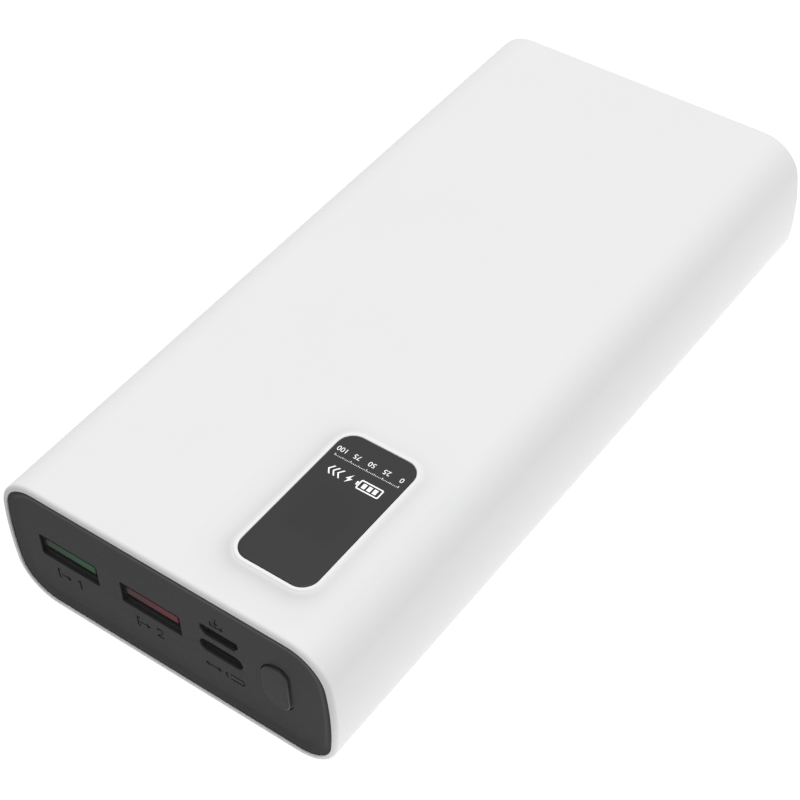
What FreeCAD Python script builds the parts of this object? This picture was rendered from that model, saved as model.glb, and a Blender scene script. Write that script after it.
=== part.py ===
import FreeCAD, Part
import math
import os
import Sketcher

# Portable power bank: a white sleeve closed at the rear, a dark front end cap with four
# sockets and a push button, and a display window on top.
#
# Frame: +Z up, the front end face looks along -Y, +X is to the right seen from the front.
# The origin is the centre of the underside. Every piece is drawn about the middle height of
# the case, and its Placement lifts it by half the case height.

os.makedirs("parts", exist_ok=True)
doc = FreeCAD.newDocument("power_bank")
V = FreeCAD.Vector

# ---------------------------------------------------------------- driving dimensions (mm)
SIZES = [
    ("body_width", 70.0), ("body_length", 147.3), ("body_height", 29.3),
    ("corner_radius", 8.25), ("side_radius", 63.0),
    ("wall", 2.0), ("rear_wall", 2.2), ("front_round", 0.6), ("rear_round", 0.4),
    ("seat_inset", 1.0), ("seat_depth", 3.2), ("cap_gap", 0.06), ("cap_recess", 0.15),
    ("cap_round", 0.2), ("skirt_gap", 0.15), ("skirt_thick", 1.5), ("skirt_length", 5.5),
    ("snap_x", 14.0), ("snap_width", 8.0), ("snap_height", 0.5), ("snap_front", 6.15),
    ("snap_length", 1.5), ("snap_play", 0.1),
    ("window_x", 15.93), ("window_y", 24.45), ("window_half_x", 7.65), ("window_half_y", 15.43),
    ("window_radius", 3.05), ("window_gap", 0.06), ("bezel_height", 0.6), ("bezel_flat", 0.6),
    ("bezel_slope", 2.1), ("lens_thick", 1.2), ("lens_sink", 0.03), ("tape_thick", 0.1),
    ("window_ledge", 1.3), ("lens_round", 0.12),
    ("usb_a1_x", -20.8), ("usb_a2_x", -2.85), ("usb_a_z", 1.275), ("usb_a_hole_x", 12.8),
    ("usb_a_hole_z", 5.0), ("usb_a_in_x", 12.5), ("usb_a_in_z", 5.12), ("usb_a_metal", 0.3),
    ("usb_a_length", 14.0), ("usb_a_tongue_x", 11.1), ("usb_a_tongue_z", 1.84),
    ("usb_a_tongue_low", 0.9), ("usb_a_tongue_back", 0.45), ("usb_a_base", 3.9),
    ("port_back", 0.8), ("port_play", 0.15),
    ("port_x", 11.92), ("usb_c_hole_x", 8.9), ("usb_c_hole_z", 2.85), ("usb_c_hole_mid", 0.4),
    ("usb_c_out_x", 8.94), ("usb_c_out_z", 3.2), ("usb_c_metal", 0.3), ("usb_c_length", 7.35),
    ("usb_c_tongue_x", 6.69), ("usb_c_tongue_z", 0.7), ("usb_c_base", 1.5),
    ("micro_top_x", 7.6), ("micro_low_x", 5.7), ("micro_out_z", 2.6), ("micro_slant", 1.15),
    ("micro_metal", 0.25), ("micro_length", 5.5), ("micro_hole_x", 7.8), ("micro_hole_low_x", 5.9),
    ("micro_hole_z", 2.35), ("micro_hole_mid", 4.575), ("micro_base", 1.2),
    ("micro_tongue_x", 4.0), ("micro_tongue_z", 0.6),
    ("button_x", 23.5), ("button_z", 0.8), ("button_hole_x", 6.0), ("button_hole_z", 11.3),
    ("button_play", 0.15), ("button_rise", 0.4), ("button_flange", 1.3), ("flange_thick", 1.0),
    ("button_round", 0.3), ("button_stop", 0.05), ("stem_radius", 1.3),
    ("switch_front", 7.05), ("switch_x", 6.0), ("switch_y", 3.6), ("switch_z", 3.3),
    ("plunger_radius", 1.1), ("plunger_play", 0.08), ("plunger_out", 1.2), ("plunger_in", 1.5),
    ("plunger_bore", 2.1),
    ("pcb_low", 2.05), ("pcb_thick", 1.2), ("pcb_half_x", 31.0), ("pcb_front", 3.35),
    ("pcb_rear", 33.65), ("pcb_notch_x", 18.6), ("pcb_notch_y", 6.5), ("pcb_play", 0.15),
    ("post_x", 25.5), ("post_front_y", 18.15), ("post_rear_y", 31.15), ("post_radius", 2.1),
    ("pilot_radius", 0.9), ("pilot_depth", 6.2), ("screw_radius", 0.85), ("screw_length", 5.5),
    ("screw_head_radius", 1.6), ("screw_head", 1.0),
    ("tray_gap", 0.15), ("tray_thick", 0.9), ("tray_front", 8.85), ("tray_rear_gap", 0.15),
    ("divider_y", 35.65), ("divider_thick", 1.0),
    ("cell_x", 58.0), ("cell_z", 11.2), ("cell_front", 43.15), ("cell_rear", 143.15),
    ("cell_round", 3.0), ("cell_low", -11.55), ("cell_tape", 0.3), ("terrace_y", 4.0),
    ("terrace_z", 1.0), ("foam_z", 1.45), ("foam_y", 0.8),
    ("tab_x", 14.0), ("tab_width", 6.0), ("tab_thick", 0.2), ("tab_reach", 1.7), ("wire_z", 4.9),
    ("wire_radius", 0.7), ("wire_bend", 1.4), ("wire_end_y", 32.65),
    ("bead_radius", 1.1), ("bead_y", 41.0), ("lead_radius", 0.3), ("lead_x", 0.65),
    ("lead_bend", 1.6), ("lead_end_y", 32.25),
    ("display_low", 7.0), ("display_board_x", 12.4), ("display_board_front", 12.15),
    ("display_board_rear", 34.65), ("display_board_thick", 0.8), ("display_x", 11.8),
    ("display_front", 15.15), ("display_rear", 33.65), ("display_top", 13.6), ("segment_thick", 0.2),
]


class Size:
    """A length that carries its spreadsheet expression and its present value together."""

    def __init__(self, text, value):
        self.text = text
        self.value = float(value)

    @staticmethod
    def of(x):
        return x if isinstance(x, Size) else Size(repr(float(x)), x)

    def __add__(self, o):
        o = Size.of(o)
        return Size("(%s + %s)" % (self.text, o.text), self.value + o.value)

    def __sub__(self, o):
        o = Size.of(o)
        return Size("(%s - %s)" % (self.text, o.text), self.value - o.value)

    def __mul__(self, o):
        o = Size.of(o)
        return Size("(%s * %s)" % (self.text, o.text), self.value * o.value)

    def __truediv__(self, o):
        o = Size.of(o)
        return Size("(%s / %s)" % (self.text, o.text), self.value / o.value)

    def __neg__(self):
        return Size("(0 - %s)" % self.text, -self.value)

    def __radd__(self, o):
        return Size.of(o) + self

    def __rsub__(self, o):
        return Size.of(o) - self

    def __rmul__(self, o):
        return Size.of(o) * self


class Book:
    pass


sheet = doc.addObject("Spreadsheet::Sheet", "Dims")
d = Book()
for row, (name, value) in enumerate(SIZES, 1):
    sheet.set("A%d" % row, name)
    sheet.set("B%d" % row, "%g" % value)
    sheet.setAlias("B%d" % row, name)
    setattr(d, name, Size("Dims.%s" % name, value))
doc.recompute()

half_x = d.body_width / 2
half_z = d.body_height / 2
front = -(d.body_length / 2)          # the front rim's plane
rear = d.body_length / 2
face = front + d.cap_recess           # the cap's front face
ledge = front + d.seat_depth          # where the cap's plate meets the sleeve's ledge
port_front = face + d.port_back       # front edges of the socket shells
pcb_high = d.pcb_low + d.pcb_thick

MAIN = []          # every sub-part, in the order it is written


def bind(obj, prop, size):
    size = Size.of(size)
    obj.setExpression(prop, size.text)


def piece(label):
    """A new PartDesign body for one sub-part."""
    b = doc.addObject("PartDesign::Body", label)
    b.Label = label
    b.Placement = FreeCAD.Placement(V(0, 0, half_z.value), FreeCAD.Rotation())
    bind(b, ".Placement.Base.z", half_z)
    MAIN.append(b)
    return b


def plane(b, role):
    return [o for o in b.Origin.OriginFeatures if o.Role == role][0]


def sketch(b, name, role="XZ_Plane", at=0.0):
    """A sketch on an origin plane of its own body, moved to the coordinate 'at'."""
    s = b.newObject("Sketcher::SketchObject", b.Label + "_" + name)
    s.AttachmentSupport = [(plane(b, role), "")]
    s.MapMode = "FlatFace"
    at = Size.of(at)
    off = -at if role == "XZ_Plane" else at
    s.AttachmentOffset = FreeCAD.Placement(V(0, 0, off.value), FreeCAD.Rotation())
    bind(s, ".AttachmentOffset.Base.z", off)
    return s


def con(s, size, *args):
    """A driving dimension of a sketch, bound to the sheet."""
    size = Size.of(size)
    i = s.addConstraint(Sketcher.Constraint(*(list(args) + [size.value])))
    s.setExpression("Constraints[%d]" % i, size.text)


def put(s, g, pos, x, y):
    con(s, x, "DistanceX", -1, 1, g, pos)
    con(s, y, "DistanceY", -1, 1, g, pos)


def line(s, a, b):
    return s.addGeometry(Part.LineSegment(V(a[0], a[1], 0), V(b[0], b[1], 0)), False)


def arc(s, c, r, a1, a2):
    return s.addGeometry(Part.ArcOfCircle(Part.Circle(V(c[0], c[1], 0), V(0, 0, 1), r), a1, a2), False)


def circle(s, x, y, r):
    x, y, r = Size.of(x), Size.of(y), Size.of(r)
    g = s.addGeometry(Part.Circle(V(x.value, y.value, 0), V(0, 0, 1), r.value), False)
    put(s, g, 3, x, y)
    con(s, r, "Radius", g)


def poly(s, pts):
    """A closed polygon whose corners are all driven."""
    pts = [(Size.of(x), Size.of(y)) for x, y in pts]
    n = len(pts)
    gs = [line(s, (pts[i][0].value, pts[i][1].value),
               (pts[(i + 1) % n][0].value, pts[(i + 1) % n][1].value)) for i in range(n)]
    for i in range(n):
        s.addConstraint(Sketcher.Constraint("Coincident", gs[i], 2, gs[(i + 1) % n], 1))
    for i in range(n):
        put(s, gs[i], 1, pts[i][0], pts[i][1])


def rect(s, x1, y1, x2, y2):
    poly(s, [(x1, y1), (x2, y1), (x2, y2), (x1, y2)])


def box_at(s, cx, cy, w, h):
    cx, cy, w, h = Size.of(cx), Size.of(cy), Size.of(w), Size.of(h)
    rect(s, cx - w / 2, cy - h / 2, cx + w / 2, cy + h / 2)


def rounded(s, cx, cy, hx, hy, r):
    """A rounded rectangle from its centre, half sizes and corner radius."""
    cx, cy, hx, hy, r = [Size.of(k) for k in (cx, cy, hx, hy, r)]
    x0, x1, y0, y1, q = (cx - hx).value, (cx + hx).value, (cy - hy).value, (cy + hy).value, r.value
    h = math.pi / 2
    e = [line(s, (x0 + q, y0), (x1 - q, y0)), arc(s, (x1 - q, y0 + q), q, -h, 0),
         line(s, (x1, y0 + q), (x1, y1 - q)), arc(s, (x1 - q, y1 - q), q, 0, h),
         line(s, (x1 - q, y1), (x0 + q, y1)), arc(s, (x0 + q, y1 - q), q, h, 2 * h),
         line(s, (x0, y1 - q), (x0, y0 + q)), arc(s, (x0 + q, y0 + q), q, 2 * h, 3 * h)]
    for i in range(8):
        s.addConstraint(Sketcher.Constraint("Tangent", e[i], 2, e[(i + 1) % 8], 1))
    for i in (0, 4):
        s.addConstraint(Sketcher.Constraint("Horizontal", e[i]))
    for i in (2, 6):
        s.addConstraint(Sketcher.Constraint("Vertical", e[i]))
    for i in (1, 3, 5, 7):
        con(s, r, "Radius", e[i])
    con(s, cy - hy, "DistanceY", -1, 1, e[0], 1)
    con(s, cy + hy, "DistanceY", -1, 1, e[4], 1)
    con(s, cx + hx, "DistanceX", -1, 1, e[2], 1)
    con(s, cx - hx, "DistanceX", -1, 1, e[6], 1)


def pill(s, cx, cy, w, hh):
    """A slot outline, w wide and hh high, with half-round ends."""
    cx, cy, w, hh = [Size.of(k) for k in (cx, cy, w, hh)]
    h = math.pi / 2
    if hh.value > w.value:
        r, run = w / 2, (hh - w) / 2
        X, Y, q, k = cx.value, cy.value, r.value, run.value
        e = [line(s, (X + q, Y - k), (X + q, Y + k)), arc(s, (X, Y + k), q, 0, 2 * h),
             line(s, (X - q, Y + k), (X - q, Y - k)), arc(s, (X, Y - k), q, 2 * h, 4 * h)]
        cs = [(cx, cy + run), (cx, cy - run)]
    else:
        r, run = hh / 2, (w - hh) / 2
        X, Y, q, k = cx.value, cy.value, r.value, run.value
        e = [line(s, (X - k, Y - q), (X + k, Y - q)), arc(s, (X + k, Y), q, -h, h),
             line(s, (X + k, Y + q), (X - k, Y + q)), arc(s, (X - k, Y), q, h, 3 * h)]
        cs = [(cx + run, cy), (cx - run, cy)]
    for i in range(4):
        s.addConstraint(Sketcher.Constraint("Tangent", e[i], 2, e[(i + 1) % 4], 1))
    for g, c in ((e[1], cs[0]), (e[3], cs[1])):
        put(s, g, 3, c[0], c[1])
        con(s, r, "Radius", g)


def profile(s, inset):
    """The case's cross-section, moved inwards by 'inset': flat top and bottom, rounded
    corners, and sides that bulge on a large radius."""
    inset = Size.of(inset)
    R = d.side_radius - inset
    r = d.corner_radius - inset
    a, b, i = half_x.value, half_z.value, inset.value
    R0, r0 = d.side_radius.value, d.corner_radius.value
    cx = (a - R0) + math.sqrt((R0 - r0) ** 2 - (b - r0) ** 2)
    cz = b - r0
    ang = math.atan2(cz, cx - (a - R0))
    h = math.pi / 2
    Rv, rv = R.value, r.value
    e = [arc(s, (a - R0, 0), Rv, -ang, ang),
         arc(s, (cx, cz), rv, ang, h),
         line(s, (cx, b - i), (-cx, b - i)),
         arc(s, (-cx, cz), rv, h, 2 * h - ang),
         arc(s, (R0 - a, 0), Rv, 2 * h - ang, 2 * h + ang),
         arc(s, (-cx, -cz), rv, 2 * h + ang, 3 * h),
         line(s, (-cx, -(b - i)), (cx, -(b - i))),
         arc(s, (cx, -cz), rv, 3 * h, 4 * h - ang)]
    for k in range(8):
        s.addConstraint(Sketcher.Constraint("Tangent", e[k], 2, e[(k + 1) % 8], 1))
    for k in (2, 6):
        s.addConstraint(Sketcher.Constraint("Horizontal", e[k]))
    con(s, half_z - inset, "DistanceY", -1, 1, e[2], 1)
    con(s, -(half_z - inset), "DistanceY", -1, 1, e[6], 1)
    for k in (0, 4):
        con(s, R, "Radius", e[k])
    for k in (1, 3, 5, 7):
        con(s, r, "Radius", e[k])
    put(s, e[0], 3, half_x - d.side_radius, 0.0)
    put(s, e[4], 3, d.side_radius - half_x, 0.0)


def grow(b, kind, s, length, toward=1, name=""):
    """A pad or pocket. toward is +1 along the row axis of the sketch's plane, -1 against it."""
    f = b.newObject("PartDesign::" + kind, b.Label + "_" + (name or s.Label.split("_")[-1]) + "_" + kind.lower())
    f.Profile = s
    normal = -1 if "XZ" in s.AttachmentSupport[0][0].Role else 1
    along = toward * normal
    f.Reversed = (along < 0) if kind == "Pad" else (along > 0)
    f.Length = Size.of(length).value
    bind(f, "Length", length)
    b.Tip = f
    doc.recompute()
    return f


def pad(b, s, length, toward=1, name=""):
    return grow(b, "Pad", s, length, toward, name)


def pocket(b, s, length, toward=1, name=""):
    before = b.Shape.Volume
    f = grow(b, "Pocket", s, length, toward, name)
    if not b.Shape.Volume < before - 1e-6:
        raise RuntimeError("pocket cut nothing: " + f.Label)
    return f


def dress(b, kind, base, test, size, prop):
    """Fillet or chamfer the edges of the last feature that pass the test."""
    names = ["Edge%d" % (i + 1) for i, e in enumerate(base.Shape.Edges) if test(e)]
    if not names:
        raise RuntimeError("no edges for " + b.Label)
    f = b.newObject("PartDesign::" + kind, b.Label + "_" + kind.lower() + "_" + str(len(b.Group)))
    f.Base = (base, names)
    setattr(f, prop, Size.of(size).value)
    bind(f, prop, size)
    b.Tip = f
    doc.recompute()
    return f


def at_y(y, least=None, keep=None):
    """Edges that lie wholly in one plane Y = y, in the body's own coordinates."""
    yv = Size.of(y).value

    def test(e):
        bb = e.BoundBox
        if abs(bb.YMin - yv) > 1e-4 or abs(bb.YMax - yv) > 1e-4:
            return False
        return keep is None or keep(e)
    return test


def at_z(z, keep=None):
    zv = Size.of(z).value

    def test(e):
        bb = e.BoundBox
        if abs(bb.ZMin - zv) > 1e-4 or abs(bb.ZMax - zv) > 1e-4:
            return False
        return keep is None or keep(e)
    return test


def outer_edge(inset):
    """True for edges on the case outline moved inwards by 'inset'."""
    iv = Size.of(inset).value
    a, b, R0, r0 = half_x.value, half_z.value, d.side_radius.value, d.corner_radius.value
    cx = (a - R0) + math.sqrt((R0 - r0) ** 2 - (b - r0) ** 2)
    cz = b - r0

    def on(e):
        p = e.valueAt((e.FirstParameter + e.LastParameter) / 2)
        x, z = abs(p.x), abs(p.z)
        if x <= cx:
            return abs(z - (b - iv)) < 0.02
        ang = math.atan2(cz, cx - (a - R0))
        if math.atan2(z, x - (a - R0)) < ang:
            return abs(math.hypot(x - (a - R0), z) - (R0 - iv)) < 0.02
        return abs(math.hypot(x - cx, z - cz) - (r0 - iv)) < 0.02
    return on


# ================================================================ outer sleeve
b = piece("outer_sleeve")
s = sketch(b, "outline", at=front)
profile(s, 0.0)
f = pad(b, s, d.body_length)
f = dress(b, "Fillet", f, at_y(front), d.front_round, "Radius")
f = dress(b, "Fillet", f, at_y(rear), d.rear_round, "Radius")
# raised rim round the display window: a soft slope up to a narrow flat
wy = front + d.window_y
grow_out = d.window_gap + d.bezel_flat
low = sketch(b, "rimlow", "XY_Plane", half_z)
rounded(low, d.window_x, wy, d.window_half_x + grow_out + d.bezel_slope,
        d.window_half_y + grow_out + d.bezel_slope, d.window_radius + grow_out + d.bezel_slope)
high = sketch(b, "rimhigh", "XY_Plane", half_z + d.bezel_height)
rounded(high, d.window_x, wy, d.window_half_x + grow_out, d.window_half_y + grow_out,
        d.window_radius + grow_out)
doc.recompute()
f = b.newObject("PartDesign::AdditiveLoft", "outer_sleeve_rim_loft")
f.Profile = low
f.Sections = [high]
f.Ruled = True
b.Tip = f
doc.recompute()
# inside: the seat of the end cap, then the main cavity
s = sketch(b, "capseat", at=front)
profile(s, d.seat_inset)
pocket(b, s, d.seat_depth)
s = sketch(b, "cavity", at=front)
profile(s, d.wall)
pocket(b, s, d.body_length - d.rear_wall)
# stepped seat of the lens, and the display opening below it
s = sketch(b, "lenswell", "XY_Plane", half_z + d.bezel_height)
rounded(s, d.window_x, wy, d.window_half_x + d.window_gap, d.window_half_y + d.window_gap,
        d.window_radius + d.window_gap)
pocket(b, s, d.lens_sink + d.lens_thick + d.tape_thick, -1)
s = sketch(b, "viewhole", "XY_Plane", half_z)
rounded(s, d.window_x, wy, d.window_half_x - d.window_ledge, d.window_half_y - d.window_ledge,
        d.window_radius - d.window_ledge)
pocket(b, s, 4.0, -1)
# four recesses for the end cap's snap hooks
for side, name in ((1, "up"), (-1, "down")):
    s = sketch(b, "snaps" + name, "XY_Plane", (half_z - d.wall) * side)
    for k in (-1, 1):
        rect(s, d.snap_x * k - d.snap_width / 2 - d.snap_play, front + d.snap_front - d.snap_play,
             d.snap_x * k + d.snap_width / 2 + d.snap_play,
             front + d.snap_front + d.snap_length + d.snap_play)
    pocket(b, s, d.snap_height + d.snap_play, side)

# ================================================================ front end cap
b = piece("front_end_cap")
s = sketch(b, "plate", at=face)
profile(s, d.seat_inset + d.cap_gap)
f = pad(b, s, d.seat_depth - d.cap_recess)
f = dress(b, "Fillet", f, at_y(face), d.cap_round, "Radius")
s = sketch(b, "skirt", at=ledge)
profile(s, d.wall + d.skirt_gap)
pad(b, s, d.skirt_length)
for side, name in ((1, "up"), (-1, "down")):
    s = sketch(b, "hooks" + name, "XY_Plane", (half_z - d.wall - d.skirt_gap - 0.3) * side)
    for k in (-1, 1):
        rect(s, d.snap_x * k - d.snap_width / 2, front + d.snap_front,
             d.snap_x * k + d.snap_width / 2, front + d.snap_front + d.snap_length)
    pad(b, s, d.skirt_gap + 0.3 + d.snap_height, side)
s = sketch(b, "bore", at=ledge + d.skirt_length)
profile(s, d.wall + d.skirt_gap + d.skirt_thick)
pocket(b, s, d.skirt_length, -1)
# openings in the face
s = sketch(b, "holes", at=face)
for x in (d.usb_a1_x, d.usb_a2_x):
    rounded(s, x, d.usb_a_z, d.usb_a_hole_x / 2, d.usb_a_hole_z / 2, 0.35)
pill(s, d.port_x, d.usb_c_hole_mid, d.usb_c_hole_x, d.usb_c_hole_z)
zm, hz = d.micro_hole_mid, d.micro_hole_z / 2
poly(s, [(d.port_x - d.micro_hole_low_x / 2, zm - hz), (d.port_x + d.micro_hole_low_x / 2, zm - hz),
         (d.port_x + d.micro_hole_x / 2, zm - hz + d.micro_slant), (d.port_x + d.micro_hole_x / 2, zm + hz),
         (d.port_x - d.micro_hole_x / 2, zm + hz), (d.port_x - d.micro_hole_x / 2, zm - hz + d.micro_slant)])
pill(s, d.button_x, d.button_z, d.button_hole_x, d.button_hole_z)
pocket(b, s, d.seat_depth)
# reliefs behind the openings for the socket shells
usb_c_mid = d.pcb_low - d.usb_c_out_z / 2
micro_mid = pcb_high + d.micro_out_z / 2
s = sketch(b, "reliefs", at=ledge)
for x in (d.usb_a1_x, d.usb_a2_x):
    rounded(s, x, d.usb_a_z, d.usb_a_in_x / 2 + d.usb_a_metal + d.port_play,
            d.usb_a_in_z / 2 + d.usb_a_metal + d.port_play, 0.9)
box_at(s, d.port_x, micro_mid, d.micro_top_x + d.port_play * 2, d.micro_out_z + d.port_play * 2)
pill(s, d.port_x, usb_c_mid, d.usb_c_out_x + d.port_play * 2, d.usb_c_out_z + d.port_play * 2)
pocket(b, s, ledge - port_front + 0.05, -1)

# ================================================================ power button
b = piece("power_button")
btn_front = face - d.button_rise
flange_front = ledge + d.button_stop
plunger_front = front + d.switch_front - d.plunger_out
s = sketch(b, "crown", at=btn_front)
pill(s, d.button_x, d.button_z, d.button_hole_x - d.button_play * 2, d.button_hole_z - d.button_play * 2)
f = pad(b, s, flange_front - btn_front)
f = dress(b, "Fillet", f, at_y(btn_front), d.button_round, "Radius")
s = sketch(b, "flange", at=flange_front)
pill(s, d.button_x, d.button_z, d.button_hole_x + d.button_flange * 2, d.button_hole_z + d.button_flange * 2)
pad(b, s, d.flange_thick)
switch_mid = d.pcb_low - d.switch_z / 2
s = sketch(b, "stem", at=flange_front + d.flange_thick)
circle(s, d.button_x, switch_mid, d.stem_radius)
pad(b, s, plunger_front - flange_front - d.flange_thick)

# ================================================================ display lens and its tape
lens_low = half_z + d.bezel_height - d.lens_sink - d.lens_thick
b = piece("display_lens")
s = sketch(b, "outline", "XY_Plane", lens_low)
rounded(s, d.window_x, wy, d.window_half_x, d.window_half_y, d.window_radius)
f = pad(b, s, d.lens_thick)
f = dress(b, "Chamfer", f, at_z(lens_low + d.lens_thick), d.lens_round, "Size")
b = piece("lens_adhesive")
s = sketch(b, "frame", "XY_Plane", lens_low - d.tape_thick)
rounded(s, d.window_x, wy, d.window_half_x - 0.1, d.window_half_y - 0.1, d.window_radius - 0.1)
rounded(s, d.window_x, wy, d.window_half_x - d.window_ledge + 0.1,
        d.window_half_y - d.window_ledge + 0.1, d.window_radius - d.window_ledge + 0.1)
pad(b, s, d.tape_thick)

# ================================================================ inner tray
b = piece("inner_tray")
tray_front = front + d.tray_front
tray_rear = rear - d.rear_wall - d.tray_rear_gap
tray_out = d.wall + d.tray_gap
floor_z = -(half_z - tray_out - d.tray_thick)
s = sketch(b, "outline", at=tray_front)
profile(s, tray_out)
pad(b, s, tray_rear - tray_front)
s = sketch(b, "trough", at=tray_front)
profile(s, tray_out + d.tray_thick)
pocket(b, s, tray_rear - tray_front - d.tray_thick)
s = sketch(b, "divider", at=front + d.divider_y)
profile(s, tray_out + d.tray_thick / 2)
pad(b, s, d.divider_thick)
posts = [(d.post_x * k, front + y) for k in (-1, 1) for y in (d.post_front_y, d.post_rear_y)]
s = sketch(b, "posts", "XY_Plane", floor_z - d.tray_thick / 2)
for x, y in posts:
    circle(s, x, y, d.post_radius)
pad(b, s, d.pcb_low - floor_z + d.tray_thick / 2)
s = sketch(b, "opentop", at=tray_front)
rect(s, -half_x, d.pcb_low, half_x, half_z + 2.0)
pocket(b, s, tray_rear - tray_front)
s = sketch(b, "pilots", "XY_Plane", d.pcb_low)
for x, y in posts:
    circle(s, x, y, d.pilot_radius)
pocket(b, s, d.pilot_depth, -1)
# three cross ribs' worth of lightening slots in the floor under the cells
s = sketch(b, "slots", "XY_Plane", floor_z)
for k in (-1, 0, 1):
    rounded(s, 0.0, front + (d.cell_front + d.cell_rear) / 2 + 30.0 * k, 18.0, 9.0, 2.0)
pocket(b, s, d.tray_thick + 0.2, -1)

# ================================================================ main board and its screws
b = piece("main_pcb")
s = sketch(b, "outline", "XY_Plane", d.pcb_low)
pf, pr = front + d.pcb_front, front + d.pcb_rear
cut_y = port_front + d.usb_a_length + d.pcb_play
half_cut = d.usb_a_in_x / 2 + d.usb_a_metal + d.pcb_play
a1, a2 = d.usb_a1_x, d.usb_a2_x
poly(s, [(-d.pcb_half_x, pf), (a1 - half_cut, pf), (a1 - half_cut, cut_y), (a1 + half_cut, cut_y),
         (a1 + half_cut, pf), (a2 - half_cut, pf), (a2 - half_cut, cut_y), (a2 + half_cut, cut_y),
         (a2 + half_cut, pf), (d.pcb_notch_x, pf), (d.pcb_notch_x, front + d.pcb_notch_y),
         (d.pcb_half_x, front + d.pcb_notch_y), (d.pcb_half_x, pr), (-d.pcb_half_x, pr)])
for x, y in posts:
    circle(s, x, y, d.pilot_radius + 0.1)
pad(b, s, d.pcb_thick)
b = piece("pcb_screws")
s = sketch(b, "heads", "XY_Plane", pcb_high)
for x, y in posts:
    circle(s, x, y, d.screw_head_radius)
pad(b, s, d.screw_head)
s = sketch(b, "shanks", "XY_Plane", pcb_high)
for x, y in posts:
    circle(s, x, y, d.screw_radius)
pad(b, s, d.screw_length, -1)
s = sketch(b, "cross", "XY_Plane", pcb_high + d.screw_head)
for x, y in posts:
    w, r = 0.22, 0.95
    poly(s, [(x - w, y - r), (x + w, y - r), (x + w, y - w), (x + r, y - w), (x + r, y + w), (x + w, y + w),
             (x + w, y + r), (x - w, y + r), (x - w, y + w), (x - r, y + w), (x - r, y - w), (x - w, y - w)])
pocket(b, s, 0.55, -1)


# ================================================================ parts soldered to the board
def blocks(label, items, height, up=True):
    """A group of equal-height rectangular parts on the board's upper or lower side."""
    b = piece(label)
    s = sketch(b, "outlines", "XY_Plane", pcb_high if up else d.pcb_low)
    for cx, cy, w, h in items:
        box_at(s, cx, front + cy, w, h)
    return b, pad(b, s, height, 1 if up else -1)


b, f = blocks("charge_controller_chip", [(-2.0, 23.65, 6.0, 6.0)], 0.9)
dress(b, "Chamfer", f, at_z(pcb_high + 0.9), 0.12, "Size")
b, f = blocks("power_mosfets", [(-20.6, 21.15, 3.3, 3.3), (-15.8, 21.15, 3.3, 3.3),
                               (-20.6, 26.15, 3.3, 3.3), (-15.8, 26.15, 3.3, 3.3)], 0.85)
dress(b, "Chamfer", f, at_z(pcb_high + 0.85), 0.1, "Size")
blocks("ceramic_capacitors", [(x, y, 3.2, 1.6) for x in (-9.6, 6.2) for y in (18.9, 21.5, 24.1, 26.7)], 1.6)
blocks("chip_resistors", [(x, y, 1.6, 0.8) for x in (-22.5, -9.5, 8.6, 20.5) for y in (22.5, 24.5, 26.5)], 0.45, False)
b = piece("power_inductor")
s = sketch(b, "outline", "XY_Plane", d.pcb_low)
rounded(s, -0.5, front + 24.65, 5.2, 5.2, 1.2)
f = pad(b, s, 4.2, -1)
dress(b, "Fillet", f, at_z(d.pcb_low - 4.2), 0.5, "Radius")
b = piece("polymer_capacitors")
s = sketch(b, "cans", "XY_Plane", d.pcb_low)
for x in (-16.0, 14.5):
    circle(s, x, front + 24.15, 3.15)
f = pad(b, s, 5.8, -1)
dress(b, "Fillet", f, at_z(d.pcb_low - 5.8), 0.4, "Radius")

# ================================================================ cells and what packs them
half_cell = d.cell_x / 2


def cell(label, low):
    b = piece(label)
    s = sketch(b, "section", at=front + d.cell_front)
    rounded(s, 0.0, low + d.cell_z / 2, half_cell, d.cell_z / 2, d.cell_round)
    f = pad(b, s, d.cell_rear - d.cell_front)
    ends = [front + d.cell_front, front + d.cell_rear]
    f = dress(b, "Fillet", f, lambda e: any(at_y(y)(e) for y in ends), 0.8, "Radius")
    # the sealed lip that the tabs leave through
    s = sketch(b, "lip", at=front + d.cell_front)
    box_at(s, 0.0, low + d.cell_z / 2, d.cell_x - 8.0, d.terrace_z)
    pad(b, s, d.terrace_y, -1)
    return b


cell_low = d.cell_low
upper_low = d.cell_low + d.cell_z + d.cell_tape
cell("battery_cell_lower", cell_low)
cell("battery_cell_upper", upper_low)


def slab(label, x0, x1, y0, y1, z0, z1):
    """A plain block as a Part primitive whose size and place are bound to the sheet."""
    o = doc.addObject("Part::Box", label)
    o.Label = label
    x0, x1, y0, y1, z0, z1 = [Size.of(k) for k in (x0, x1, y0, y1, z0, z1)]
    for prop, size in (("Length", x1 - x0), ("Width", y1 - y0), ("Height", z1 - z0),
                       (".Placement.Base.x", x0), (".Placement.Base.y", y0),
                       (".Placement.Base.z", z0 + half_z)):
        bind(o, prop, size)
    MAIN.append(o)
    return o


tape_y = (front + d.cell_front + 6.0, front + d.cell_rear - 6.0)
slab("cell_tape", -22.0, 22.0, tape_y[0], tape_y[1], cell_low + d.cell_z, upper_low)
slab("foam_pad_top", -21.0, 21.0, tape_y[0], tape_y[1], upper_low + d.cell_z,
     upper_low + d.cell_z + d.foam_z)
slab("foam_pad_rear", -22.0, 22.0, front + d.cell_rear, front + d.cell_rear + d.foam_y,
     cell_low + 2.5, d.pcb_low - 0.5)


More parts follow.
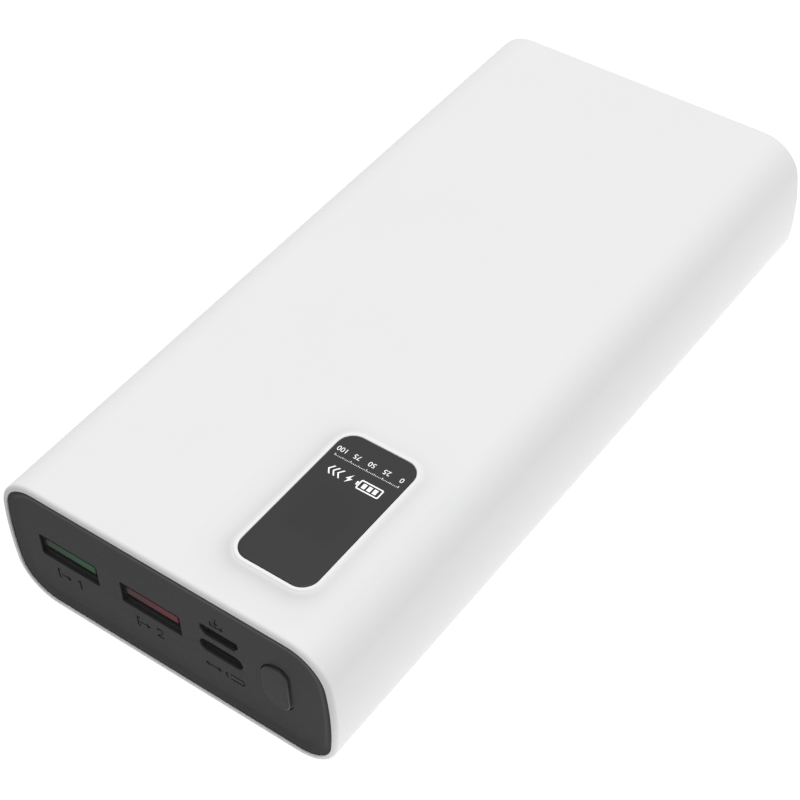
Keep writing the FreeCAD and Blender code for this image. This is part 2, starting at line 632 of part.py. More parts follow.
def strip(label, x):
    """A nickel strip that ties the same tabs of both cells together."""
    b = piece(label)
    tip = front + d.cell_front - d.terrace_y
    back, tt = tip - d.tab_reach, d.tab_thick
    zu = upper_low + d.cell_z / 2
    zl = cell_low + d.cell_z / 2
    s = sketch(b, "section", "YZ_Plane", x - d.tab_width / 2)
    poly(s, [(back - tt, zl - tt / 2), (tip, zl - tt / 2), (tip, zl + tt / 2), (back, zl + tt / 2),
             (back, zu - tt / 2), (tip, zu - tt / 2), (tip, zu + tt / 2), (back, zu + tt / 2),
             (back, zu + 1.6), (back - tt, zu + 1.6)])
    pad(b, s, d.tab_width)
    return back - tt


strip_face = strip("positive_tab_strip", -d.tab_x)
strip("negative_tab_strip", d.tab_x)


def pipe(b, name, x, y0, y1, z0, z1, r, bend):
    """A round wire: along -Y at height z0, then a quarter bend down to z1."""
    path = sketch(b, name + "path", "YZ_Plane", x)
    y0, y1, z0, z1, r, bend = [Size.of(k) for k in (y0, y1, z0, z1, r, bend)]
    Y0, Y1, Z0, Z1, q = y0.value, y1.value, z0.value, z1.value, bend.value
    h = math.pi / 2
    e = [line(path, (Y0, Z0), (Y1 + q, Z0)), arc(path, (Y1 + q, Z0 - q), q, h, 2 * h),
         line(path, (Y1, Z0 - q), (Y1, Z1))]
    path.addConstraint(Sketcher.Constraint("Tangent", e[0], 2, e[1], 1))
    path.addConstraint(Sketcher.Constraint("Tangent", e[1], 2, e[2], 1))
    path.addConstraint(Sketcher.Constraint("Horizontal", e[0]))
    path.addConstraint(Sketcher.Constraint("Vertical", e[2]))
    con(path, bend, "Radius", e[1])
    put(path, e[0], 1, y0, z0)
    put(path, e[2], 2, y1, z1)
    ring = sketch(b, name + "ring", at=y0)
    circle(ring, x, z0, r)
    doc.recompute()
    f = b.newObject("PartDesign::AdditivePipe", b.Label + "_" + name + "_pipe")
    f.Profile = ring
    f.Spine = path
    b.Tip = f
    doc.recompute()
    return f


for label, x in (("battery_wire_red", -d.tab_x), ("battery_wire_black", d.tab_x)):
    b = piece(label)
    pipe(b, "run", x, strip_face, front + d.wire_end_y, d.wire_z, pcb_high, d.wire_radius, d.wire_bend)

# temperature sensor: a bead on the upper cell's lip, with two leads to the board
b = piece("ntc_thermistor")
bead_z = upper_low + d.cell_z / 2 + d.terrace_z / 2 + d.bead_radius
bead_y = front + d.bead_y
s = sketch(b, "bead", "YZ_Plane", 0.0)
c = s.addGeometry(Part.ArcOfCircle(Part.Circle(V(bead_y.value, bead_z.value, 0), V(0, 0, 1),
                                               d.bead_radius.value), 0, math.pi), False)
g = line(s, (bead_y.value - d.bead_radius.value, bead_z.value), (bead_y.value + d.bead_radius.value, bead_z.value))
s.addConstraint(Sketcher.Constraint("Coincident", c, 2, g, 1))
s.addConstraint(Sketcher.Constraint("Coincident", c, 1, g, 2))
s.addConstraint(Sketcher.Constraint("Horizontal", g))
s.addConstraint(Sketcher.Constraint("PointOnObject", c, 3, g))
put(s, c, 3, bead_y, bead_z)
con(s, d.bead_radius, "Radius", c)
doc.recompute()
f = b.newObject("PartDesign::Revolution", "ntc_thermistor_bead_revolution")
f.Profile = s
f.ReferenceAxis = (s, ["Edge2"])
f.Angle = 360.0
b.Tip = f
doc.recompute()
for k, name in ((-1, "left"), (1, "right")):
    pipe(b, name, d.lead_x * k, bead_y, front + d.lead_end_y, bead_z, pcb_high, d.lead_radius, d.lead_bend)


# ================================================================ full-size USB sockets
def usb_a(n, x):
    shell = piece("usb_a_%d_shell" % n)
    s = sketch(shell, "outline", at=port_front)
    rounded(s, x, d.usb_a_z, d.usb_a_in_x / 2 + d.usb_a_metal, d.usb_a_in_z / 2 + d.usb_a_metal, 0.75)
    pad(shell, s, d.usb_a_length)
    s = sketch(shell, "mouth", at=port_front)
    rounded(s, x, d.usb_a_z, d.usb_a_in_x / 2, d.usb_a_in_z / 2, 0.45)
    pocket(shell, s, d.usb_a_length)
    # slots beside the leaf springs, above and below
    for side, nm in ((1, "up"), (-1, "down")):
        s = sketch(shell, "leaf" + nm, "XY_Plane", d.usb_a_z + (d.usb_a_in_z / 2 + d.usb_a_metal + 0.1) * side)
        for k in (-1, 1):
            for j in (-1, 1):
                box_at(s, x + 2.9 * k + 0.9 * j, port_front + 6.6, 0.35, 5.0)
        pocket(shell, s, d.usb_a_metal + 0.2, -side)
    tongue = piece("usb_a_%d_tongue" % n)
    tongue_front = face + d.usb_a_tongue_back
    base_front = port_front + d.usb_a_length - d.usb_a_base
    low_z = d.usb_a_tongue_low
    s = sketch(tongue, "base", at=base_front)
    rounded(s, x, d.usb_a_z, d.usb_a_in_x / 2 - 0.05, d.usb_a_in_z / 2 - 0.05, 0.4)
    pad(tongue, s, d.usb_a_base)
    s = sketch(tongue, "blade", at=base_front)
    rect(s, x - d.usb_a_tongue_x / 2, low_z, x + d.usb_a_tongue_x / 2, low_z + d.usb_a_tongue_z)
    f = pad(tongue, s, base_front - tongue_front, -1)
    dress(tongue, "Chamfer", f, at_y(tongue_front), 0.12, "Size")
    pins = piece("usb_a_%d_contacts" % n)
    s = sketch(pins, "strips", at=base_front)
    for off in (-3.5, -1.0, 1.0, 3.5):
        rect(s, x + off - 0.5, low_z - 0.15, x + off + 0.5, low_z)
    pad(pins, s, base_front - tongue_front - 1.3, -1)


usb_a(1, d.usb_a1_x)
usb_a(2, d.usb_a2_x)

# ================================================================ USB-C socket, under the board
shell = piece("usb_c_shell")
s = sketch(shell, "outline", at=port_front)
pill(s, d.port_x, usb_c_mid, d.usb_c_out_x, d.usb_c_out_z)
pad(shell, s, d.usb_c_length)
s = sketch(shell, "mouth", at=port_front)
pill(s, d.port_x, usb_c_mid, d.usb_c_out_x - d.usb_c_metal * 2, d.usb_c_out_z - d.usb_c_metal * 2)
pocket(shell, s, d.usb_c_length)
tongue = piece("usb_c_tongue")
base_front = port_front + d.usb_c_length - d.usb_c_base
s = sketch(tongue, "base", at=base_front)
pill(s, d.port_x, usb_c_mid, d.usb_c_out_x - d.usb_c_metal * 2 - 0.1, d.usb_c_out_z - d.usb_c_metal * 2 - 0.1)
pad(tongue, s, d.usb_c_base)
s = sketch(tongue, "blade", at=base_front)
rect(s, d.port_x - d.usb_c_tongue_x / 2, usb_c_mid - d.usb_c_tongue_z / 2,
     d.port_x + d.usb_c_tongue_x / 2, usb_c_mid + d.usb_c_tongue_z / 2)
f = pad(tongue, s, base_front - port_front - 0.9, -1)
dress(tongue, "Chamfer", f, at_y(port_front + 0.9), 0.1, "Size")
pins = piece("usb_c_contacts")
s = sketch(pins, "strips", at=base_front)
for i in range(12):
    x = d.port_x + (i - 5.5) * 0.5
    for side in (1, -1):
        a = usb_c_mid + d.usb_c_tongue_z / 2 * side
        c2 = a + 0.08 * side
        rect(s, x - 0.12, a if side > 0 else c2, x + 0.12, c2 if side > 0 else a)
pad(pins, s, base_front - port_front - 1.6, -1)

# ================================================================ micro-USB socket, on the board
shell = piece("micro_usb_shell")


def micro(s, grow_by):
    """The six-sided section, wide at the top, moved outwards by grow_by."""
    wx, lx = d.micro_top_x / 2 + grow_by, d.micro_low_x / 2 + grow_by * 0.6
    z0, z1 = pcb_high - grow_by, pcb_high + d.micro_out_z + grow_by
    zs = pcb_high + d.micro_slant
    poly(s, [(d.port_x - lx, z0), (d.port_x + lx, z0), (d.port_x + wx, zs), (d.port_x + wx, z1),
             (d.port_x - wx, z1), (d.port_x - wx, zs)])


s = sketch(shell, "outline", at=port_front)
micro(s, Size.of(0.0))
pad(shell, s, d.micro_length)
s = sketch(shell, "mouth", at=port_front)
micro(s, -d.micro_metal)
pocket(shell, s, d.micro_length)
tongue = piece("micro_usb_tongue")
base_front = port_front + d.micro_length - d.micro_base
s = sketch(tongue, "base", at=base_front)
micro(s, -d.micro_metal - 0.04)
pad(tongue, s, d.micro_base)
blade_z = pcb_high + d.micro_out_z - d.micro_metal - 0.55
s = sketch(tongue, "blade", at=base_front)
rect(s, d.port_x - d.micro_tongue_x / 2, blade_z - d.micro_tongue_z, d.port_x + d.micro_tongue_x / 2, blade_z)
f = pad(tongue, s, base_front - port_front - 0.6, -1)
dress(tongue, "Chamfer", f, at_y(port_front + 0.6), 0.08, "Size")
pins = piece("micro_usb_contacts")
s = sketch(pins, "strips", at=base_front)
for i in range(5):
    x = d.port_x + (i - 2) * 0.65
    rect(s, x - 0.18, blade_z - d.micro_tongue_z - 0.1, x + 0.18, blade_z - d.micro_tongue_z)
pad(pins, s, base_front - port_front - 1.1, -1)

# ================================================================ switch behind the button
b = piece("tact_switch_body")
sw_front = front + d.switch_front
s = sketch(b, "block", at=sw_front)
box_at(s, d.button_x, switch_mid, d.switch_x, d.switch_z)
f = pad(b, s, d.switch_y)
f = dress(b, "Chamfer", f, at_y(sw_front), 0.15, "Size")
s = sketch(b, "bore", at=sw_front)
circle(s, d.button_x, switch_mid, d.plunger_radius + d.plunger_play)
pocket(b, s, d.plunger_bore)
b = piece("tact_switch_plunger")
s = sketch(b, "round", at=plunger_front)
circle(s, d.button_x, switch_mid, d.plunger_radius)
f = pad(b, s, d.plunger_out + d.plunger_in)
dress(b, "Chamfer", f, at_y(plunger_front), 0.12, "Size")

# ================================================================ display under the window
wx = d.window_x
slab("display_board", wx - d.display_board_x / 2, wx + d.display_board_x / 2,
     front + d.display_board_front, front + d.display_board_rear, d.display_low,
     d.display_low + d.display_board_thick)
b = piece("display_header")
s = sketch(b, "pins", "XY_Plane", pcb_high)
for i in range(8):
    box_at(s, wx + (i - 3.5) * 1.27, front + d.display_board_front + 1.2, 0.5, 0.5)
pad(b, s, d.display_low - pcb_high)
b = piece("display_module")
s = sketch(b, "outline", "XY_Plane", d.display_low + d.display_board_thick)
rounded(s, wx, front + (d.display_front + d.display_rear) / 2, d.display_x / 2,
        (d.display_rear - d.display_front) / 2, 0.5)
pad(b, s, d.display_top - d.display_low - d.display_board_thick)
b = piece("display_digits")
s = sketch(b, "segments", "XY_Plane", d.display_top)
dy = front + (d.display_front + d.display_rear) / 2
for cx in (-2.7, 2.7):
    w, l, bar = 3.4, 6.6, 0.62
    for k in (-1, 0, 1):
        box_at(s, wx + cx, dy + l / 2 * k, w - 0.9, bar)
    for i in (-1, 1):
        for k in (-1, 1):
            box_at(s, wx + cx + w / 2 * i, dy + l / 4 * k, bar, l / 2 - 0.9)
pad(b, s, d.segment_thick)

# ---------------------------------------------------------------- checks, then the files
doc.recompute()
for o in doc.Objects:
    if "Invalid" in o.State or "Error" in o.State:
        raise RuntimeError("failed object: %s %s" % (o.Label, o.State))
labels = [o.Label for o in MAIN]
if len(set(labels)) != len(labels) or len(labels) > 60:
    raise RuntimeError("labels")
for o in MAIN:
    sh = o.Shape
    if sh.isNull() or not sh.isValid() or not sh.Solids or sh.Volume <= 0:
        raise RuntimeError("bad shape: " + o.Label)
for o in MAIN:
    o.Shape.exportStep("parts/%s.step" % o.Label)
    bb = o.Shape.BoundBox
    print("%-24s solids %2d vol %9.2f  x %7.2f %7.2f  y %7.2f %7.2f  z %6.2f %6.2f" % (
        o.Label, len(o.Shape.Solids), o.Shape.Volume, bb.XMin, bb.XMax, bb.YMin, bb.YMax, bb.ZMin, bb.ZMax))
print(len(MAIN), "pieces")
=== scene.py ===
import bpy
import bmesh
import math
from mathutils import Matrix, Vector
from mathutils.geometry import delaunay_2d_cdt


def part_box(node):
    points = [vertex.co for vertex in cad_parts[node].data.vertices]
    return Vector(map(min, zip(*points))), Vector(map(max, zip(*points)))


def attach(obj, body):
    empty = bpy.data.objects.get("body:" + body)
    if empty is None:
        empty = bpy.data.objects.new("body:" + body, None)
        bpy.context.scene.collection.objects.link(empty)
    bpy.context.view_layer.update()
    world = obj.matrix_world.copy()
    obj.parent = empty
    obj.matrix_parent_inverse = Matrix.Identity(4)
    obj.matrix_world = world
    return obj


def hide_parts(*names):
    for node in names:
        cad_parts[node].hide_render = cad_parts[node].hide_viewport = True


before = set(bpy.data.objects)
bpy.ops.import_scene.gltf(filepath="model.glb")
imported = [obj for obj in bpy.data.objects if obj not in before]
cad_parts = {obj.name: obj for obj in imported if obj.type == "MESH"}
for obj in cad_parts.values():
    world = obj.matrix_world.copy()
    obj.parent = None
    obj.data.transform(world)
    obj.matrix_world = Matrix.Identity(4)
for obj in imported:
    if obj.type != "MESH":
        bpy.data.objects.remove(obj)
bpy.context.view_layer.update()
MM = 0.001

# ------------------------------------------------------------------ places, from the CAD boxes
def box(node):
    lo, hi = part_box(node)
    return lo / MM, hi / MM


s_lo, s_hi = box("outer_sleeve")
c_lo, c_hi = box("front_end_cap")
l_lo, l_hi = box("display_lens")
b_lo, b_hi = box("power_button")
HX = round(s_hi.x * 2, 0) / 2          # half width, the tessellated side sits a hair inside it
FRONT, REAR = s_lo.y, s_hi.y
TOP_RIM = s_hi.z                       # top of the raised rim
RIM_H = 0.6
H = TOP_RIM - RIM_H                    # top of the case
HZ = H / 2
R_CORNER, R_SIDE = 8.25, 63.0
SEAT, WALL, REAR_WALL = 1.0, 2.0, 2.2
FACE = c_lo.y                          # the cap's front face
LEDGE = FRONT + 3.2
WX, WY = (l_lo.x + l_hi.x) / 2, (l_lo.y + l_hi.y) / 2
LHX, LHY, LR = (l_hi.x - l_lo.x) / 2, (l_hi.y - l_lo.y) / 2, 3.05
GAP = 0.06
XC = (HX - R_SIDE) + math.sqrt((R_SIDE - R_CORNER) ** 2 - (HZ - R_CORNER) ** 2)
ZC = HZ - R_CORNER
ANG = math.atan2(ZC, XC - (HX - R_SIDE))


# ------------------------------------------------------------------ outlines
def profile(inset, ns=26, nc=16):
    """The case's section moved inwards, as (x, z about mid height), anticlockwise from the lower
    right corner. The straight top and bottom have no points of their own."""
    R, r = R_SIDE - inset, R_CORNER - inset
    q = []
    for k in range(nc + 1):
        t = -math.pi / 2 + (math.pi / 2 - ANG) * k / nc
        q.append((XC + r * math.cos(t), -ZC + r * math.sin(t)))
    for k in range(1, ns):
        t = -ANG + 2 * ANG * k / ns
        q.append(((HX - R_SIDE) + R * math.cos(t), R * math.sin(t)))
    for k in range(nc + 1):
        t = ANG + (math.pi / 2 - ANG) * k / nc
        q.append((XC + r * math.cos(t), ZC + r * math.sin(t)))
    return q + [(-x, -z) for x, z in q]


def rpoly(pts, r, off=0.0, n=10):
    """A convex polygon with rounded corners, moved outwards by off; every offset has the same
    number of points."""
    rs = r if isinstance(r, (list, tuple)) else [r] * len(pts)
    out, m = [], len(pts)
    for i in range(m):
        p0, p1, p2 = Vector(pts[i - 1]), Vector(pts[i]), Vector(pts[(i + 1) % m])
        e1, e2 = (p1 - p0).normalized(), (p2 - p1).normalized()
        n1, n2 = Vector((e1.y, -e1.x)), Vector((e2.y, -e2.x))      # outward for anticlockwise
        bis = (n1 + n2).normalized()
        c = p1 - bis * (rs[i] / max(bis.dot(n1), 1e-6))
        a1 = math.atan2(n1.y, n1.x)
        a2 = math.atan2(n2.y, n2.x)
        while a2 < a1:
            a2 += 2 * math.pi
        for k in range(n + 1):
            a = a1 + (a2 - a1) * k / n
            out.append((c.x + (rs[i] + off) * math.cos(a), c.y + (rs[i] + off) * math.sin(a)))
    return out


def rrect(cx, cy, hx, hy, r, off=0.0, n=12):
    return rpoly([(cx - hx, cy - hy), (cx + hx, cy - hy), (cx + hx, cy + hy), (cx - hx, cy + hy)], r, off, n)


def pill(cx, cy, w, h, off=0.0, n=20):
    r = min(w, h) / 2 - 1e-4
    return rrect(cx, cy, w / 2, h / 2, r, off, n)


# ------------------------------------------------------------------ mesh tools, all in mm
def inside(p, poly):
    x, y = p
    hit = False
    j = len(poly) - 1
    for i in range(len(poly)):
        xi, yi = poly[i]
        xj, yj = poly[j]
        if (yi > y) != (yj > y) and x < (xj - xi) * (y - yi) / (yj - yi) + xi:
            hit = not hit
        j = i
    return hit


class Solid:
    """Faces gathered by coordinates, merged where they meet."""

    def __init__(self):
        self.bm = bmesh.new()

    def vs(self, pts):
        return [self.bm.verts.new(p) for p in pts]

    def loft(self, loops, closed=True):
        rows = [self.vs(l) for l in loops]
        n = len(loops[0])
        for a, b in zip(rows, rows[1:]):
            for i in range(n if closed else n - 1):
                j = (i + 1) % n
                q = [a[i], a[j], b[j], b[i]]
                if (q[0].co - q[1].co).length < 1e-7 and (q[2].co - q[3].co).length < 1e-7:
                    continue
                self.bm.faces.new(q)

    def flat(self, outer, holes, place, extra=()):
        """Fills a plane region between an outline and its holes."""
        pts, edges = [], []
        for loop in [outer] + list(holes):
            k = len(pts)
            pts += [Vector(p) for p in loop]
            edges += [(k + i, k + (i + 1) % len(loop)) for i in range(len(loop))]
        pts += [Vector(p) for p in extra]
        vs, _, fs, _, _, _ = delaunay_2d_cdt(pts, edges, [], 1 if not extra else 0, 1e-7)
        made = self.vs([place(v.x, v.y) for v in vs])
        for f in fs:
            c = (sum(vs[i].x for i in f) / len(f), sum(vs[i].y for i in f) / len(f))
            if inside(c, outer) and not any(inside(c, h) for h in holes):
                self.bm.faces.new([made[i] for i in f])

    def done(self, name, body, replaces=(), mat=None, smooth=True, merge=1e-5):
        bm = self.bm
        bmesh.ops.remove_doubles(bm, verts=bm.verts, dist=merge)
        loose = [v for v in bm.verts if not v.link_faces]
        bmesh.ops.delete(bm, geom=loose, context="VERTS")
        bmesh.ops.recalc_face_normals(bm, faces=bm.faces)
        bad = [e for e in bm.edges if len(e.link_faces) != 2]
        if bad:
            print("OPEN EDGES", name, len(bad), [tuple(round(c, 3) for c in e.verts[0].co) for e in bad[:6]])
        if bm.calc_volume(signed=True) < 0:
            bmesh.ops.reverse_faces(bm, faces=bm.faces)
        for e in bm.edges:
            e.smooth = e.calc_face_angle(0.0) < math.radians(38)
        for v in bm.verts:
            v.co *= MM
        me = bpy.data.meshes.new(name)
        bm.to_mesh(me)
        bm.free()
        for p in me.polygons:
            p.use_smooth = smooth
        o = bpy.data.objects.new(name, me)
        bpy.context.scene.collection.objects.link(o)
        if smooth:
            w = o.modifiers.new("weighted", "WEIGHTED_NORMAL")
            w.mode = "FACE_AREA"
            w.weight = 50
            w.keep_sharp = True
        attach(o, body)
        if replaces:
            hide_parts(*replaces)
        if mat:
            me.materials.append(mat)
        return o


def ring(y, inset, **k):
    return [(x, y, z + HZ) for x, z in profile(inset, **k)]


def xz(loop, y):
    return [(x, y, z) for x, z in loop]


def xy(loop, z):
    return [(x, y, z) for x, y in loop]


def tube(sol, inset, y0, y1, up=(), down=()):
    """The case's section swept along Y: its curved sides, and its flat top and bottom, each
    with the outlines of whatever rises from it or sinks into it."""
    p = profile(inset)
    half = len(p) // 2
    for k in (0, half):
        part = p[k:k + half]
        sol.loft([[(x, y, z + HZ) for x, z in part] for y in (y0, y1)], closed=False)
    x0 = p[half - 1][0]
    for z, holes in ((HZ - inset, up), (-(HZ - inset), down)):
        sol.flat([(-x0, y0), (x0, y0), (x0, y1), (-x0, y1)], holes, lambda x, y: (x, y, z + HZ))


def rect(x0, y0, x1, y1):
    return [(x0, y0), (x1, y0), (x1, y1), (x0, y1)]


# ------------------------------------------------------------------ materials
def nodes_of(name):
    m = bpy.data.materials.new(name)
    m.use_nodes = True
    t = m.node_tree
    return m, t, t.nodes["Principled BSDF"]


def add(t, kind, **inputs):
    n = t.nodes.new(kind)
    for k, v in inputs.items():
        n.inputs[k].default_value = v
    return n


def plastic(name, colour, rough=0.5, grain=2600.0, bump=0.06, tint=0.03, spec=0.5, coat=0.0,
            rough_vary=0.06, broad=38.0, sheen=0.0):
    """Moulded plastic: an even colour with faint cloudiness, and the fine grain of a
    spark-eroded mould in its roughness and bump."""
    m, t, p = nodes_of(name)
    tc = t.nodes.new("ShaderNodeTexCoord")
    cloud = add(t, "ShaderNodeTexNoise", Scale=broad, Detail=3.0, Roughness=0.55)
    fine = add(t, "ShaderNodeTexNoise", Scale=grain, Detail=2.0, Roughness=0.6)
    pits = add(t, "ShaderNodeTexVoronoi", Scale=grain * 0.55)
    for n in (cloud, fine, pits):
        t.links.new(tc.outputs["Object"], n.inputs["Vector"])
    ramp = t.nodes.new("ShaderNodeMix")
    ramp.data_type = "RGBA"
    ramp.inputs["A"].default_value = (*[c * (1 - tint) for c in colour], 1)
    ramp.inputs["B"].default_value = (*[min(1.0, c * (1 + tint)) for c in colour], 1)
    t.links.new(cloud.outputs["Fac"], ramp.inputs["Factor"])
    t.links.new(ramp.outputs["Result"], p.inputs["Base Color"])
    rr = add(t, "ShaderNodeMapRange")
    rr.inputs["To Min"].default_value = rough - rough_vary
    rr.inputs["To Max"].default_value = rough + rough_vary
    t.links.new(fine.outputs["Fac"], rr.inputs["Value"])
    t.links.new(rr.outputs["Result"], p.inputs["Roughness"])
    mix = t.nodes.new("ShaderNodeMath")
    mix.operation = "ADD"
    t.links.new(fine.outputs["Fac"], mix.inputs[0])
    t.links.new(pits.outputs["Distance"], mix.inputs[1])
    b = add(t, "ShaderNodeBump", Strength=bump, Distance=0.00012)
    t.links.new(mix.outputs["Value"], b.inputs["Height"])
    t.links.new(b.outputs["Normal"], p.inputs["Normal"])
    p.inputs["Specular IOR Level"].default_value = spec
    p.inputs["Coat Weight"].default_value = coat
    p.inputs["Sheen Weight"].default_value = sheen
    return m


def metal(name, colour, rough=0.3, brush=(30.0, 2200.0, 30.0), bump=0.08, metallic=1.0):
    """Drawn or plated metal, with fine lines along one direction."""
    m, t, p = nodes_of(name)
    tc = t.nodes.new("ShaderNodeTexCoord")
    mp = add(t, "ShaderNodeMapping")
    mp.inputs["Scale"].default_value = brush
    t.links.new(tc.outputs["Object"], mp.inputs["Vector"])
    lines = add(t, "ShaderNodeTexNoise", Scale=1.0, Detail=4.0, Roughness=0.6)
    t.links.new(mp.outputs["Vector"], lines.inputs["Vector"])
    cloud = add(t, "ShaderNodeTexNoise", Scale=180.0, Detail=2.0)
    t.links.new(tc.outputs["Object"], cloud.inputs["Vector"])
    ramp = t.nodes.new("ShaderNodeMix")
    ramp.data_type = "RGBA"
    ramp.inputs["A"].default_value = (*[c * 0.86 for c in colour], 1)
    ramp.inputs["B"].default_value = (*colour, 1)
    t.links.new(cloud.outputs["Fac"], ramp.inputs["Factor"])
    t.links.new(ramp.outputs["Result"], p.inputs["Base Color"])
    rr = add(t, "ShaderNodeMapRange")
    rr.inputs["To Min"].default_value = rough * 0.75
    rr.inputs["To Max"].default_value = rough * 1.3
    t.links.new(lines.outputs["Fac"], rr.inputs["Value"])
    t.links.new(rr.outputs["Result"], p.inputs["Roughness"])
    b = add(t, "ShaderNodeBump", Strength=bump, Distance=0.00005)
    t.links.new(lines.outputs["Fac"], b.inputs["Height"])
    t.links.new(b.outputs["Normal"], p.inputs["Normal"])
    p.inputs["Metallic"].default_value = metallic
    return m


def with_painted_rim_halo(m, cx, cy, hx, hy, r, steps, lean):
    """Paints shade into a material's colour round a rounded rectangle in the object's XY plane, and a painted highlight
    where a step's share is below zero. steps are (distance outside it in metres, share of the colour lost); lean is
    (even part, part by X, part by Y)."""
    t = m.node_tree
    p = t.nodes["Principled BSDF"]

    def mn(op, a, b=0.0):
        n = t.nodes.new("ShaderNodeMath")
        n.operation = op
        for i, v in enumerate((a, b)):
            if isinstance(v, (int, float)):
                n.inputs[i].default_value = v
            else:
                t.links.new(v, n.inputs[i])
        return n.outputs["Value"]

    tc = t.nodes.new("ShaderNodeTexCoord")
    sep = t.nodes.new("ShaderNodeSeparateXYZ")
    t.links.new(tc.outputs["Object"], sep.inputs["Vector"])
    q = []
    for k, c, h in (("X", cx, hx), ("Y", cy, hy)):
        d = mn("SUBTRACT", sep.outputs[k], c)
        q.append((mn("SIGN", d), mn("MAXIMUM", mn("SUBTRACT", mn("ABSOLUTE", d), h - r), 0.0)))
    ln = mn("SQRT", mn("ADD", mn("MULTIPLY", q[0][1], q[0][1]), mn("MULTIPLY", q[1][1], q[1][1])))
    dist = mn("SUBTRACT", ln, r)
    safe = mn("MAXIMUM", ln, 1e-6)
    nx = mn("DIVIDE", mn("MULTIPLY", q[0][0], q[0][1]), safe)
    ny = mn("DIVIDE", mn("MULTIPLY", q[1][0], q[1][1]), safe)
    way = mn("ADD", mn("ADD", mn("MULTIPLY", nx, lean[1]), mn("MULTIPLY", ny, lean[2])), lean[0])
    ramp = t.nodes.new("ShaderNodeValToRGB")
    ramp.color_ramp.interpolation = "EASE"
    far = steps[-1][0]
    el = ramp.color_ramp.elements
    while len(el) > 1:
        el.remove(el[-1])
    el[0].position, el[0].color = steps[0][0] / far, (steps[0][1] + 0.2,) * 3 + (1,)
    for d, v in steps[1:]:
        e = el.new(d / far)
        e.color = (v + 0.2,) * 3 + (1,)
    t.links.new(mn("DIVIDE", dist, far), ramp.inputs["Fac"])
    high = mn("GREATER_THAN", sep.outputs["Z"], (H - 1.0) * MM)
    lost = mn("MULTIPLY", mn("MULTIPLY", mn("SUBTRACT", ramp.outputs["Color"], 0.2), way), high)
    keep = mn("SUBTRACT", 1.0, lost)
    sc = t.nodes.new("ShaderNodeVectorMath")
    sc.operation = "SCALE"
    t.links.new(p.inputs["Base Color"].links[0].from_socket, sc.inputs[0])
    t.links.new(keep, sc.inputs["Scale"])
    t.links.new(sc.outputs["Vector"], p.inputs["Base Color"])
    return m


def with_painted_front_light(m, y0, y1, z0, z1, loss):
    """Takes a share of a material's colour away: all of it at y0 and z1, none of it at y1 or z0.
    It paints shade on the thin front edge, greyer near the top, and with a share below zero it paints light instead."""
    t = m.node_tree
    p = t.nodes["Principled BSDF"]
    tc = t.nodes.new("ShaderNodeTexCoord")
    sep = t.nodes.new("ShaderNodeSeparateXYZ")
    t.links.new(tc.outputs["Object"], sep.inputs["Vector"])
    parts = []
    for axis, a, b, to in (("Y", y0, y1, (loss, 0.0)), ("Z", z0, z1, (0.0, 1.0))):
        mr = add(t, "ShaderNodeMapRange")
        mr.interpolation_type = "SMOOTHSTEP"
        mr.inputs["From Min"].default_value, mr.inputs["From Max"].default_value = a, b
        mr.inputs["To Min"].default_value, mr.inputs["To Max"].default_value = to
        t.links.new(sep.outputs[axis], mr.inputs["Value"])
        parts.append(mr.outputs["Result"])
    mul = t.nodes.new("ShaderNodeMath")
    mul.operation = "MULTIPLY"
    sub = t.nodes.new("ShaderNodeMath")
    sub.operation = "SUBTRACT"
    sub.inputs[0].default_value = 1.0
    t.links.new(parts[0], mul.inputs[0])
    t.links.new(parts[1], mul.inputs[1])
    t.links.new(mul.outputs["Value"], sub.inputs[1])
    sc = t.nodes.new("ShaderNodeVectorMath")
    sc.operation = "SCALE"
    t.links.new(p.inputs["Base Color"].links[0].from_socket, sc.inputs[0])
    t.links.new(sub.outputs["Value"], sc.inputs["Scale"])
    t.links.new(sc.outputs["Vector"], p.inputs["Base Color"])
    return m


# painted shade: the colour darkens softly where the raised rim grows out of the top, most at the front and the left,
# with a painted highlight on the bead beside the lens
WHITE_CASE = with_painted_rim_halo(
    plastic("white_sleeve_plastic", (0.62, 0.62, 0.622), rough=0.52, grain=2400.0, bump=0.05, tint=0.008, spec=0.17),
    WX * MM, WY * MM, LHX * MM, LHY * MM, LR * MM,
    [(d * MM, v) for d, v in ((0.0, -0.05), (0.6, -0.09), (0.85, -0.06), (1.1, 0.075), (1.45, 0.15), (1.9, 0.145), (2.3, 0.115),
                              (3.0, 0.08), (4.0, 0.048), (5.2, 0.03), (9.0, 0.0))],
    (0.72, -0.10, -0.28))
# painted shade on the case's front edge, strongest near the top; then painted light brightening the case's lowest
# millimetres behind the front edge
WHITE_CASE = with_painted_front_light(WHITE_CASE, (FRONT + 0.30) * MM, (FRONT + 0.95) * MM, 0.005, 0.020, 0.13)
WHITE_CASE = with_painted_front_light(WHITE_CASE, (FRONT + 0.34) * MM, (FRONT + 0.04) * MM, 0.0022, 0.0006, -0.15)


